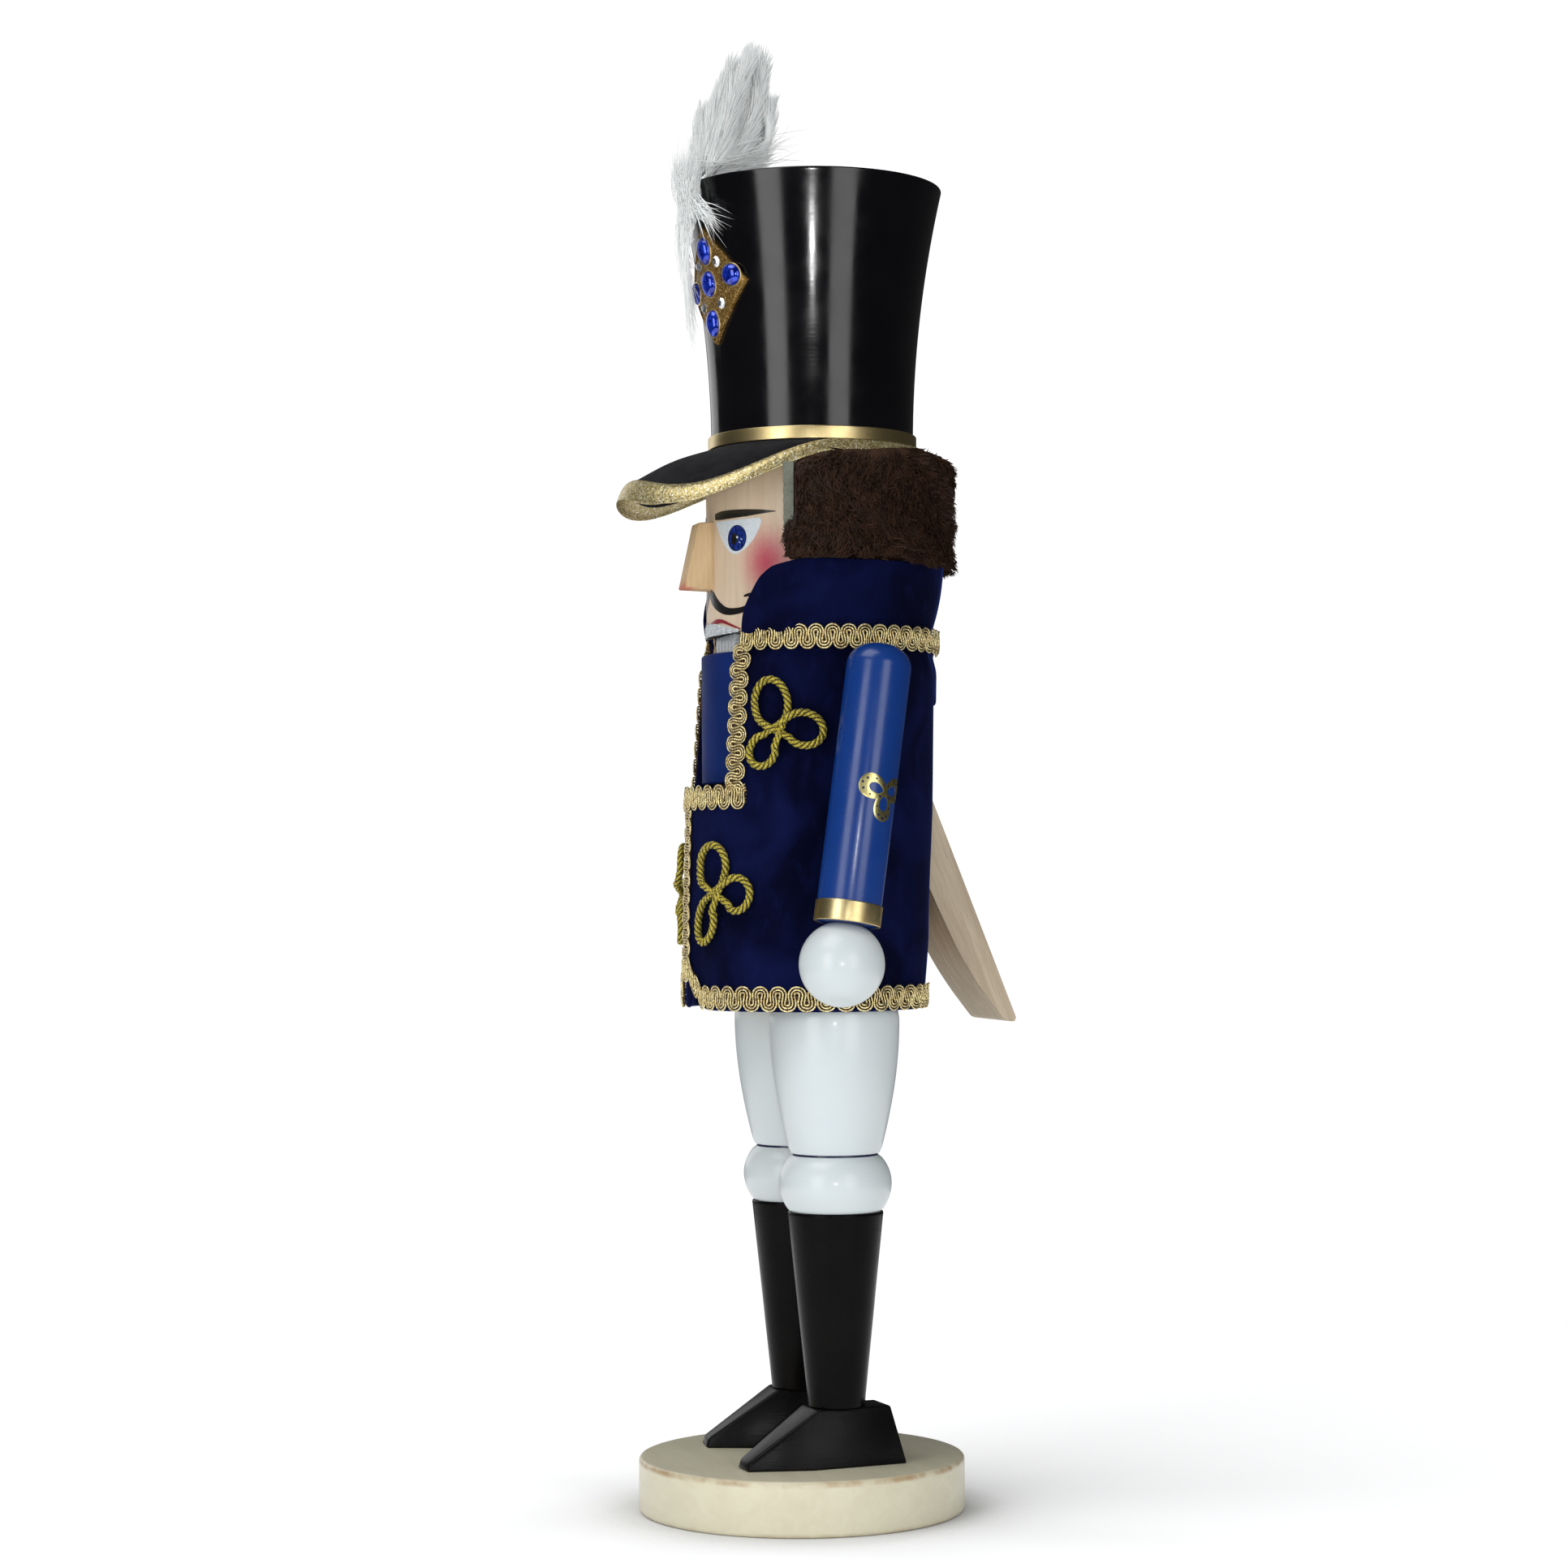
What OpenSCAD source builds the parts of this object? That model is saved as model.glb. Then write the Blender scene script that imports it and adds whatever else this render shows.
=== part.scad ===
// Nutcracker figure of turned wood. It faces -Y, and its left side is +X.
// The origin is the middle of the base's underside.

/* [Base and legs] */
// Diameter of the base disc
base_d = 108; // [104:1:112]
// Thickness of the base disc
base_h = 18; // [16:1:20]
// Distance of the body's axis behind the middle of the base
axis_y = 5.6; // [4:0.1:7]
// Distance of each leg's axis from the middle plane
leg_x = 22; // [22:0.1:23]
// Height of a shoe
shoe_h = 19; // [17:1:21]
// Angle at which each shoe turns outwards
shoe_splay = 5; // [0:1:8]
// Height of the boots' top edges
boot_top_z = 100.5; // [98:0.5:102]
// Height of the joint between knee and thigh
thigh_z = 119; // [117:0.5:121]
// Widest radius of a thigh
thigh_r = 21.2; // [20.5:0.1:21.5]

/* [Body and head] */
// Radius of the turned torso and head
body_r = 35.4; // [35:0.1:35.6]
// Height of the torso's underside
torso_z = 172; // [170:1:174]
// Height of the joint between torso and head
neck_z = 287; // [286:0.5:288]
// Height of the upper lip's lower edge
mouth_z = 289.4; // [289.2:0.1:290]
// Height of the head's top
head_top_z = 349; // [348.5:0.5:349]

/* [Jaw lever] */
// Distance of the pivot pin from the middle of the base, to the front
pivot_front = 14; // [13:0.5:14.5]
// Height of the pivot pin
pivot_z = 245; // [244:0.5:246]
// Radius of the pivot pin
pin_r = 3; // [2.5:0.1:3.2]
// Width of the lever board
lever_w = 34.5; // [32:0.5:34.5]
// Width of the front panel under the mouth
jaw_w = 39.2; // [38:0.1:39.4]
// Height of the panel's top edge
jaw_top_z = 283.7; // [283:0.1:284]

/* [Hat] */
// Radius of the hat crown where it meets the head
hat_r = 33.5; // [33:0.1:33.6]
// Height of the hat's top
hat_top_z = 436.6; // [430:0.1:440]
// How much wider the hat is at its top
hat_flare = 9.9; // [8:0.1:10]
// Reach of the visor in front of the body's axis
visor_reach = 66; // [62:0.5:68]

/* [Coat and arms] */
// Height of the coat's hem
hem_z = 166; // [164:0.5:167]
// Thickness of the braid
braid_t = 1.6; // [1:0.1:1.8]
// Width of the braid
braid_w = 8; // [7:0.1:8.5]
// Radius of an arm
arm_r = 10.35; // [10:0.05:10.5]
// Length of an arm without its hand
arm_len = 90.5; // [88:0.5:92]
// Radius of a hand
hand_r = 13.6; // [13:0.1:13.8]

/* [Hidden] */
$fn = 64;
LEFT = 1;
RIGHT = -1;

// Fits
gap = 0.05;
dowel_r = 4;
dowel_hole_r = dowel_r + gap;

// Legs
shoe_top_z = base_h + shoe_h;
boot_bottom_r = 9.2;
boot_top_r = 15.7;
knee_r = 18.4;
knee_end_r = 14.6;
thigh_end_r = 14.9;

// Mouth and slot
slot_w = lever_w + 1.1;
jaw_slot_w = jaw_w + 1.2;
panel_r = body_r + 1.8;
panel_back_y = -22;
panel_bottom_z = 240;
palate_z = 297;
palate_front_y = -20;
palate_back_y = 14;
jaw_slot_back_y = -17;
pin_len = 54;

// Hat
band_z = head_top_z + 1.6;
band_h = 4.3;
brim_r = 38.8;
felt_t = 1.4;

// Coat. Each station is height, offset of its middle from the body's axis, half depth, half width
coat_top_z = 289;
coat_stations = [
    [hem_z, -3.2, 40.2, 45.4],
    [200, -2.4, 41, 41.6],
    [231, -1.2, 41.4, 41.4],
    [coat_top_z, 1.8, 39.6, 39.6]];
coat_gap = 0.4;
braid_gap = 0.15;
opening_w = 43;
opening_z = 235.5;
vent_w = 37.4;
vent_z = 266;
collar_top_z = 314;

// Arms
arm_top = [51.3, axis_y + 7.7, 283.3];
arm_tilt = [-9, -4.3, 0];
hand_drop = 103.2;
cuff_h = 6.7;
cuff_t = 0.35;
shoulder_z = 268;
shoulder_y = axis_y + 5.5;

// Value at z between the stations of a table whose first column is the height
function at(table, z, column) = lookup(z, [for (row = table) [row[0], row[column]]]);

// Distance from the body's axis to the coat's outside, a degrees round from the front
function coat_reach(a, z) =
    let (c = at(coat_stations, z, 1), h = at(coat_stations, z, 2), w = at(coat_stations, z, 3),
        s = pow(sin(a) / w, 2) + pow(cos(a) / h, 2), m = c * cos(a) / (h * h))
    (-m + sqrt(m * m - s * (pow(c / h, 2) - 1))) / s;

// The hat's outside at height z
function crown_r(z) =
    hat_r + hat_flare * pow(max(0, (z - head_top_z - 2) / (hat_top_z - head_top_z - 2)), 2);

// The visor's outer edge and its height, a degrees round from the front
function edge_r(a) = brim_r + (visor_reach - brim_r) * pow(max(cos(a), 0), 2);
function edge_z(a) =
    let (c = max(cos(a), 0)) head_top_z - 2.2 - 25.4 * pow(c, 2) + 8.5 * pow(c, 30);
function trim_w(a) = 2.6 + 1.4 * max(cos(a), 0);
function trim_h(a) = 2.8 + 2.6 * max(cos(a), 0);
function round_axis(a, r, z) = [r * sin(a), axis_y - r * cos(a), z];

module on_axis(z = 0) {
    translate([0, axis_y, z]) children();
}

module at_leg(side, z = 0) {
    translate([side * leg_x, axis_y, z]) children();
}

// Places children on the coat's outside with their Z axis pointing outwards
module on_coat(a, z, lift = 0) {
    on_axis(z) rotate([0, 0, a]) translate([0, -coat_reach(a, z) - lift, 0]) rotate([90, 0, 0])
        children();
}

module along_arm(side) {
    mirror([side == LEFT ? 0 : 1, 0, 0]) translate(arm_top) rotate(arm_tilt) children();
}

// A closed band whose cross sections follow one another round the figure
module swept_ring(sections) {
    n = len(sections);
    m = len(sections[0]);
    polyhedron(
        points = [for (s = sections) each s],
        faces = [for (i = [0 : n - 1], j = [0 : m - 1])
            let (a = i * m + j, b = (i + 1) % n * m + j, c = (i + 1) % n * m + (j + 1) % m,
                d = i * m + (j + 1) % m)
            each [[a, b, c], [a, c, d]]]);
}

// An open band: the same, with both ends closed
module swept_strip(sections) {
    n = len(sections);
    m = len(sections[0]);
    polyhedron(
        points = [for (s = sections) each s],
        faces = [
            [for (j = [0 : m - 1]) j],
            [for (j = [m - 1 : -1 : 0]) (n - 1) * m + j],
            for (i = [0 : n - 2], j = [0 : m - 1])
                let (a = i * m + j, b = a + m, c = (i + 1) * m + (j + 1) % m, d = i * m + (j + 1) % m)
                each [[a, b, c], [a, c, d]]]);
}

// Four corners of a braid's cross section, flat on the coat
function braid_section(a, low, high) = [
    round_axis(a, coat_reach(a, low) + braid_gap, low),
    round_axis(a, coat_reach(a, low) + braid_gap + braid_t, low),
    round_axis(a, coat_reach(a, high) + braid_gap + braid_t, high),
    round_axis(a, coat_reach(a, high) + braid_gap, high)];

module braid_round(from, to, z) {
    steps = ceil((to - from) / 4);
    swept_strip([for (i = [0 : steps])
        braid_section(from + (to - from) * i / steps, z - braid_w / 2, z + braid_w / 2)]);
}

// A straight upright length of braid, half_a degrees each side of its middle
module braid_up(a, half_a, low, high) {
    steps = 8;
    function place(across, out, z) =
        let (at_a = a + half_a * across) round_axis(at_a, coat_reach(at_a, z) + braid_gap + out, z);
    function row(z) = concat(
        [for (across = [-1 : 0.5 : 1]) place(across, 0, z)],
        [for (across = [1 : -0.5 : -1]) place(across, braid_t, z)]);
    swept_strip([for (i = [0 : steps]) row(low + (high - low) * i / steps)]);
}

module base_disc() {
    edge = 1.5;
    color("cornsilk") difference() {
        rotate_extrude() polygon([[0, 0], [base_d / 2 - edge, 0], [base_d / 2, edge],
            [base_d / 2, base_h - edge], [base_d / 2 - edge, base_h], [0, base_h]]);
        for (side = [LEFT, RIGHT]) at_leg(side, base_h - 10) cylinder(h = 11, r = dowel_hole_r);
    }
}

// Wedge-shaped shoe, cut flat on top and narrowing to its toe
module shoe(side) {
    heel = 21.5;
    toe = 33;
    wide_at = -12;
    toe_h = 3.2;
    sole = [[-9, heel], [-10.5, wide_at], [-5, -toe], [5, -toe], [10.5, wide_at], [9, heel]];
    top = [[-7, heel - 5], [-7.4, -9], [7.4, -9], [7, heel - 5]];
    points = concat(
        [for (p = sole) [p[0], p[1], 0]],
        [[-4.4, -toe + 0.8, toe_h], [4.4, -toe + 0.8, toe_h]],
        [for (p = top) [p[0], p[1], shoe_h]]);
    color("black") at_leg(side, base_h) rotate([0, 0, side * shoe_splay]) difference() {
        hull() polyhedron(points = points, faces = [[for (i = [0 : len(points) - 1]) i]]);
        translate([0, 0, -1]) cylinder(h = shoe_h + 2, r = dowel_hole_r);
    }
}

module ankle_dowel(side) {
    color("burlywood") at_leg(side, base_h - 9.5) cylinder(h = shoe_h + 9.5 + 22, r = dowel_r);
}

module boot(side) {
    h = boot_top_z - shoe_top_z;
    color("black") at_leg(side, shoe_top_z) difference() {
        cylinder(h = h, r1 = boot_bottom_r, r2 = boot_top_r);
        translate([0, 0, -1]) cylinder(h = 24, r = dowel_hole_r);
        translate([0, 0, h - 16]) cylinder(h = 17, r = dowel_hole_r);
    }
}

module knee_dowel(side) {
    color("burlywood") at_leg(side, boot_top_z - 15.5)
        cylinder(h = thigh_z - boot_top_z + 31, r = dowel_r);
}

// Turned bulge below the groove under the thigh
module knee(side) {
    h = thigh_z - boot_top_z;
    rows = 10;
    color("white") at_leg(side, boot_top_z) difference() {
        rotate_extrude() polygon(concat([[0, 0]],
            [for (i = [0 : rows]) [knee_end_r + (knee_r - knee_end_r) * sin(180 * i / rows),
                h * i / rows]], [[0, h]]));
        translate([0, 0, -1]) cylinder(h = h + 2, r = dowel_hole_r);
    }
}

// Thigh, widest near its top and rounded in to both ends
module thigh(side) {
    h = torso_z - thigh_z;
    wide_at = 0.82;
    rows = 12;
    function thigh_curve(t) = t < wide_at
        ? thigh_end_r + (thigh_r - thigh_end_r) * pow(sin(90 * t / wide_at), 0.9)
        : thigh_r - 4 * pow((t - wide_at) / (1 - wide_at), 2);
    color("white") at_leg(side, thigh_z) difference() {
        rotate_extrude() polygon(concat([[0, 0]],
            [for (i = [0 : rows]) [thigh_curve(i / rows), h * i / rows]], [[0, h]]));
        translate([0, 0, -1]) cylinder(h = 17, r = dowel_hole_r);
        translate([0, 0, h - 13]) cylinder(h = 14, r = dowel_hole_r);
    }
}

module hip_dowel(side) {
    color("burlywood") at_leg(side, torso_z - 12.5) cylinder(h = 24, r = dowel_r);
}

// The way that the lever board swings, seen from the side
module lever_way() {
    rotate([90, 0, 90]) translate([0, 0, -slot_w / 2]) linear_extrude(slot_w)
        polygon([[-50, 225], [18, 225], [33, 200], [60, 178], [60, 251],
            [17, 284.5], [17, palate_z + 5], [-50, palate_z + 5]]);
}

module torso() {
    pin_hole = [0, -pivot_front, pivot_z];
    color("burlywood") difference() {
        on_axis(torso_z) cylinder(h = neck_z - torso_z, r = body_r);
        lever_way();
        translate([-jaw_slot_w / 2, -60, 225]) cube([jaw_slot_w, 60 + jaw_slot_back_y, 80]);
        translate(pin_hole) rotate([0, 90, 0]) cylinder(h = 100, r = pin_r + gap, center = true);
        for (side = [LEFT, RIGHT]) {
            at_leg(side, torso_z - 1) cylinder(h = 13, r = dowel_hole_r);
            translate([side * 26.5, axis_y, neck_z - 12]) cylinder(h = 13, r = dowel_hole_r);
            translate([side * 50, shoulder_y, shoulder_z]) rotate([0, 90, 0])
                cylinder(h = 56, r = dowel_hole_r, center = true);
        }
    }
}

module pivot_pin() {
    color("silver") translate([0, -pivot_front, pivot_z]) rotate([0, 90, 0])
        cylinder(h = pin_len, r = pin_r, center = true);
}

// Lever sawn from one board: jaw in front, tail hanging behind
module lever_board() {
    side_view = [[panel_back_y, jaw_top_z], [10, jaw_top_z], [26.1, 272], [42.9, 230.5],
        [69.4, 164.6], [70.1, 162.6], [69.2, 161.3], [67.2, 161.2], [65, 162.6], [57.6, 172.3],
        [50.5, 183.5], [41.1, 203.1], [31, 226], [24, 233], [12, 238], [panel_back_y, panel_bottom_z]];
    color("tan") difference() {
        rotate([90, 0, 90]) translate([0, 0, -lever_w / 2]) linear_extrude(lever_w)
            polygon(side_view);
        translate([0, -pivot_front, pivot_z]) rotate([0, 90, 0])
            cylinder(h = lever_w + 2, r = pin_r + gap, center = true);
    }
}

// Curved front panel of the jaw, painted like the coat
module jaw_panel() {
    h = jaw_top_z - panel_bottom_z;
    color("royalblue") intersection() {
        on_axis(panel_bottom_z) cylinder(h = h, r = panel_r);
        translate([-jaw_w / 2, -60, panel_bottom_z]) cube([jaw_w, 60 + panel_back_y, h]);
    }
}

module lower_teeth() {
    teeth_w = 24.6;
    teeth_t = 4;
    color("whitesmoke") translate([-teeth_w / 2, -24.9, jaw_top_z])
        cube([teeth_w, teeth_t, mouth_z - jaw_top_z - 0.3]);
}

module head() {
    h = head_top_z - neck_z;
    color("bisque") difference() {
        on_axis(neck_z) rotate_extrude()
            polygon([[0, 0], [body_r, 0], [body_r, h - 3], [hat_r + 0.1, h], [0, h]]);
        translate([-jaw_slot_w / 2, -60, neck_z - 1])
            cube([jaw_slot_w, 60 + palate_front_y, mouth_z - neck_z + 1]);
        translate([-slot_w / 2, palate_front_y - 1, neck_z - 1])
            cube([slot_w, palate_back_y - palate_front_y + 5, mouth_z - neck_z + 1]);
        translate([-slot_w / 2, palate_front_y, neck_z - 1])
            cube([slot_w, palate_back_y - palate_front_y, palate_z - neck_z + 1]);
        on_axis(head_top_z - 14) cylinder(h = 15, r = 5 + gap);
        for (side = [LEFT, RIGHT])
            translate([side * 26.5, axis_y, neck_z - 1]) cylinder(h = 13, r = dowel_hole_r);
    }
}

module neck_dowels() {
    color("burlywood") for (side = [LEFT, RIGHT])
        translate([side * 26.5, axis_y, neck_z - 11.5]) cylinder(h = 23, r = dowel_r);
}

module upper_teeth() {
    half_a = 25;
    far = 60;
    color("whitesmoke") intersection() {
        on_axis(mouth_z) difference() {
            cylinder(h = 4, r = body_r + 0.7);
            translate([0, 0, -1]) cylinder(h = 6, r = body_r + gap);
        }
        on_axis(mouth_z - 1) linear_extrude(6) polygon([[0, 0], [far * sin(-half_a), -far * cos(half_a)],
            [far * sin(half_a), -far * cos(half_a)]]);
    }
}

// Wedge-shaped nose, cut to sit on the round face
module nose() {
    nose_w = 9;
    low_z = 304.2;
    top_z = 326.6;
    color("tan") difference() {
        on_axis() rotate([90, 0, 90]) translate([0, 0, -nose_w / 2]) linear_extrude(nose_w)
            polygon([[-30, low_z + 0.8], [-body_r - 10.3, low_z], [-body_r - 5, top_z], [-30, top_z]]);
        on_axis(290) cylinder(h = 50, r = body_r + gap);
    }
}

// Fur round the sides and the back of the head
module hair() {
    bare_a = 64;
    hair_h = 27;
    far = 90;
    color("saddlebrown") on_axis(collar_top_z + 0.6) difference() {
        cylinder(h = hair_h, r = 47.6);
        translate([0, 0, -1]) cylinder(h = hair_h + 2, r = body_r + gap);
        translate([0, 0, -1]) linear_extrude(hair_h + 2) polygon([[0, 0],
            [-far * sin(bare_a), -far * cos(bare_a)], [-far, -far], [far, -far],
            [far * sin(bare_a), -far * cos(bare_a)]]);
    }
}

module hat_crown() {
    rows = 16;
    h = hat_top_z - head_top_z;
    edge = 1;
    color("black") on_axis(head_top_z) difference() {
        rotate_extrude() polygon(concat([[0, 0]],
            [for (i = [0 : rows]) [crown_r(head_top_z + (h - edge) * i / rows), (h - edge) * i / rows]],
            [[crown_r(hat_top_z) - edge, h], [0, h]]));
        translate([0, 0, -1]) cylinder(h = 16, r = 5 + gap);
    }
}

module hat_dowel() {
    color("burlywood") on_axis(head_top_z - 13.5) cylinder(h = 28, r = 5);
}

module hat_band() {
    color("gold") on_axis(band_z) difference() {
        cylinder(h = band_h, r = hat_r + 1.1);
        translate([0, 0, -1]) cylinder(h = band_h + 2, r = hat_r + 0.1);
    }
}

// Felt visor, narrow round the back and drooping in front
module visor() {
    steps = 72;
    top_z = head_top_z + felt_t + 0.1;
    function felt(a) = [
        round_axis(a, hat_r + 0.2, top_z - felt_t),
        round_axis(a, hat_r + 0.2, top_z),
        round_axis(a, edge_r(a) - trim_w(a), edge_z(a) + trim_h(a)),
        round_axis(a, edge_r(a) - trim_w(a), edge_z(a) + trim_h(a) - felt_t)];
    color("dimgray") swept_ring([for (i = [0 : steps - 1]) felt(360 * i / steps)]);
}

// Glitter band that turns down round the visor's edge
module visor_trim() {
    steps = 72;
    function band(a) = [
        round_axis(a, edge_r(a) - trim_w(a) + gap, edge_z(a) + trim_h(a) - felt_t),
        round_axis(a, edge_r(a) - trim_w(a) + gap, edge_z(a) + trim_h(a)),
        round_axis(a, edge_r(a), edge_z(a) + 0.9),
        round_axis(a, edge_r(a) - 0.6, edge_z(a))];
    color("goldenrod") swept_ring([for (i = [0 : steps - 1]) band(360 * i / steps)]);
}

// Middle of the cockade: degrees round from the front, and height
cockade_a = 14;
cockade_z = 402.5;

// Diamond plate bent round the hat
module cockade_plate() {
    half = 19;
    plate_t = 1;
    rows = 8;
    function side_row(i) = cockade_z - half + 2 * half * i / rows;
    color("peru") on_axis() intersection() {
        rotate_extrude() polygon(concat(
            [for (i = [0 : rows]) [crown_r(side_row(i)) + 0.15, side_row(i)]],
            [for (i = [rows : -1 : 0]) [crown_r(side_row(i)) + 0.15 + plate_t, side_row(i)]]));
        rotate([0, 0, cockade_a]) translate([0, 0, cockade_z]) rotate([90, 0, 0]) linear_extrude(60)
            polygon([[0, -half], [half * 0.93, 0], [0, half], [-half * 0.93, 0]]);
    }
}

// Places children on the plate, x millimetres round and z millimetres up from its middle
module on_cockade(x, z, lift) {
    at_z = cockade_z + z;
    around = x / crown_r(at_z) * 180 / PI;
    slope = atan((crown_r(at_z + 1) - crown_r(at_z - 1)) / 2);
    on_axis() rotate([0, 0, cockade_a + around]) translate([0, -crown_r(at_z) - lift, at_z])
        rotate([90 + slope, 0, 0]) children();
}

module cabochons() {
    lift = 1.45;
    places = [[0, 0.6, 3.1], [0, 11.2, 2.9], [0, -12.2, 2.9], [11.6, 2, 3], [-11.6, -0.6, 3]];
    color("blue") for (p = places) on_cockade(p[0], p[1], lift) intersection() {
        cylinder(h = 3, r = p[2]);
        translate([0, 0, -1.2]) sphere(r = 3.4);
    }
}

module rhinestones() {
    lift = 1.35;
    color("white") for (x = [-5.6, 5.6], z = [-6.4, 7]) on_cockade(x, z, lift)
        cylinder(h = 1.4, r1 = 1.7, r2 = 1);
}

// Plume rising from behind the cockade, in front of the hat's rim, and leaning back over the hat
module plume() {
    // Each ball is its distance from the body's axis, its height and its radius
    balls = [[44.2, 425.4, 2.6], [47, 441.2, 2.6], [29.7, 455.5, 12.8], [25.6, 475, 10]];
    color("whitesmoke") for (i = [0 : 2]) hull() for (b = [balls[i], balls[i + 1]])
        on_axis(b[1]) rotate([0, 0, cockade_a]) translate([0, -b[0], 0]) sphere(r = b[2], $fn = 20);
}

// One cross section of the coat, grown outwards by extra
module coat_slice(z, extra = 0) {
    h = at(coat_stations, z, 2) + extra;
    w = at(coat_stations, z, 3) + extra;
    on_axis(z) translate([0, at(coat_stations, z, 1), -0.05]) scale([w / h, 1, 1])
        cylinder(h = 0.1, r = h, $fn = 72);
}

// Velvet coat round the torso, open in front of the jaw and behind for the lever
module coat_body() {
    inner_r = body_r + coat_gap;
    n = len(coat_stations);
    color("navy") difference() {
        for (i = [0 : n - 2]) hull() {
            coat_slice(coat_stations[i][0]);
            coat_slice(coat_stations[i + 1][0]);
        }
        on_axis(hem_z - 1) cylinder(h = 140, r = inner_r);
        hull() {
            on_axis(190) cylinder(h = 0.1, r = inner_r);
            on_axis(hem_z - 1) scale([1.22, 1, 1]) cylinder(h = 0.1, r = inner_r);
        }
        translate([-opening_w / 2, -70, opening_z]) cube([opening_w, 60, 80]);
        translate([-vent_w / 2, 20, hem_z - 5]) cube([vent_w, 60, vent_z - hem_z + 5]);
        translate([0, shoulder_y, shoulder_z]) rotate([0, 90, 0])
            cylinder(h = 120, r = dowel_r + 0.3, center = true);
    }
}

// Standing collar, cut back in front
module collar() {
    wall = 3;
    low_r = 36.4;
    top_r = 40.6;
    z0 = coat_top_z + 0.2;
    h = collar_top_z - z0;
    far = 90;
    module front(half_a, low, high) {
        translate([0, 0, low]) linear_extrude(high - low) polygon([[0, 0],
            [-far * sin(half_a), -far * cos(half_a)], [far * sin(half_a), -far * cos(half_a)]]);
    }
    color("navy") on_axis(z0) difference() {
        rotate_extrude() polygon([[low_r, 0], [low_r + wall, 0], [top_r + wall, h], [top_r, h]]);
        front(40, -1, h / 3);
        front(45, h / 3, 2 * h / 3);
        front(54, 2 * h / 3, h + 1);
    }
}

module neck_braid() {
    color("gold") braid_round(36.2, 323.8, coat_top_z - 2 - braid_w / 4);
}

// Braid down both sides of the jaw's opening
module placket_braid() {
    half_a = 5.4;
    color("gold") for (side = [LEFT, RIGHT])
        braid_up(side * 37, half_a, opening_z + 4.2, coat_top_z - 2 - braid_w / 4 - braid_w / 2 - gap);
}

// Braid under the opening and down the closed front
module closure_braid() {
    color("gold") {
        braid_round(-42.4, 42.4, opening_z + 4 - braid_w / 2);
        braid_up(0, 5.6, hem_z + braid_w + 0.8, opening_z + 3.9 - braid_w);
    }
}

module hem_braid() {
    vent_a = 27.5;
    color("gold") braid_round(vent_a - 180, 180 - vent_a, hem_z + 0.5 + braid_w / 2);
}

// Cord knot of three loops, each a place round and up from the knot's middle and a radius
module knot(side, a, z, loops) {
    cord_r = 1.2;
    color("gold") for (loop = loops) {
        place_a = side * (a + loop[0] / coat_reach(a, z) * 180 / PI);
        on_coat(place_a, z + loop[1], cord_r + 0.6) rotate_extrude($fn = 12)
            translate([loop[2], 0]) circle(r = cord_r, $fn = 8);
    }
}

module upper_knot(side) {
    knot(side, 60.6, 258, [[-2.9, 7, 6.2], [7.3, -2.1, 5.7], [-5.3, -8.2, 4.7]]);
}

module lower_knot(side) {
    knot(side, 29.8, 204.8, [[-2, 7.7, 6], [8.6, -1.8, 4.6], [-4.8, -8.3, 7]]);
}

module arm(side) {
    color("royalblue") difference() {
        along_arm(side) union() {
            translate([0, 0, -arm_len]) cylinder(h = arm_len - arm_r, r = arm_r);
            translate([0, 0, -arm_r]) sphere(r = arm_r);
        }
        translate([side * 44, shoulder_y, shoulder_z]) rotate([0, 90, 0])
            cylinder(h = 13, r = dowel_hole_r, center = true);
    }
}

module cuff(side) {
    color("gold") along_arm(side) translate([0, 0, -arm_len]) difference() {
        cylinder(h = cuff_h, r = arm_r + cuff_t);
        translate([0, 0, -1]) cylinder(h = cuff_h + 2, r = arm_r);
    }
}

module hand(side) {
    color("white") along_arm(side) difference() {
        translate([0, 0, -hand_drop]) sphere(r = hand_r);
        translate([-20, -20, -arm_len]) cube([40, 40, 20]);
    }
}

module shoulder_dowel(side) {
    color("burlywood") translate([side * 36.4, shoulder_y, shoulder_z]) rotate([0, 90, 0])
        cylinder(h = 28, r = dowel_r, center = true);
}

base_disc();
shoe(LEFT);  // left_shoe
shoe(RIGHT);  // right_shoe
ankle_dowel(LEFT);  // left_ankle_dowel
ankle_dowel(RIGHT);  // right_ankle_dowel
boot(LEFT);  // left_boot
boot(RIGHT);  // right_boot
knee_dowel(LEFT);  // left_knee_dowel
knee_dowel(RIGHT);  // right_knee_dowel
knee(LEFT);  // left_knee
knee(RIGHT);  // right_knee
thigh(LEFT);  // left_thigh
thigh(RIGHT);  // right_thigh
hip_dowel(LEFT);  // left_hip_dowel
hip_dowel(RIGHT);  // right_hip_dowel
torso();
pivot_pin();
lever_board();
jaw_panel();
lower_teeth();
head();
neck_dowels();
upper_teeth();
nose();
hair();
hat_crown();
hat_dowel();
hat_band();
visor();
visor_trim();
cockade_plate();
cabochons();
rhinestones();
plume();
coat_body();
collar();
neck_braid();
placket_braid();
closure_braid();
hem_braid();
upper_knot(LEFT);  // left_upper_knot
upper_knot(RIGHT);  // right_upper_knot
lower_knot(LEFT);  // left_lower_knot
lower_knot(RIGHT);  // right_lower_knot
arm(LEFT);  // left_arm
arm(RIGHT);  // right_arm
cuff(LEFT);  // left_cuff
cuff(RIGHT);  // right_cuff
hand(LEFT);  // left_hand
hand(RIGHT);  // right_hand
shoulder_dowel(LEFT);  // left_shoulder_dowel
shoulder_dowel(RIGHT);  // right_shoulder_dowel
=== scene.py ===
"""Looks of the nutcracker figure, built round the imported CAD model.

Shapes are worked out in millimetres and become metres when a mesh is made. The figure faces -Y,
+Z is up, and angles round the body are degrees from the front towards its left side (+X).
"""

import math

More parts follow.
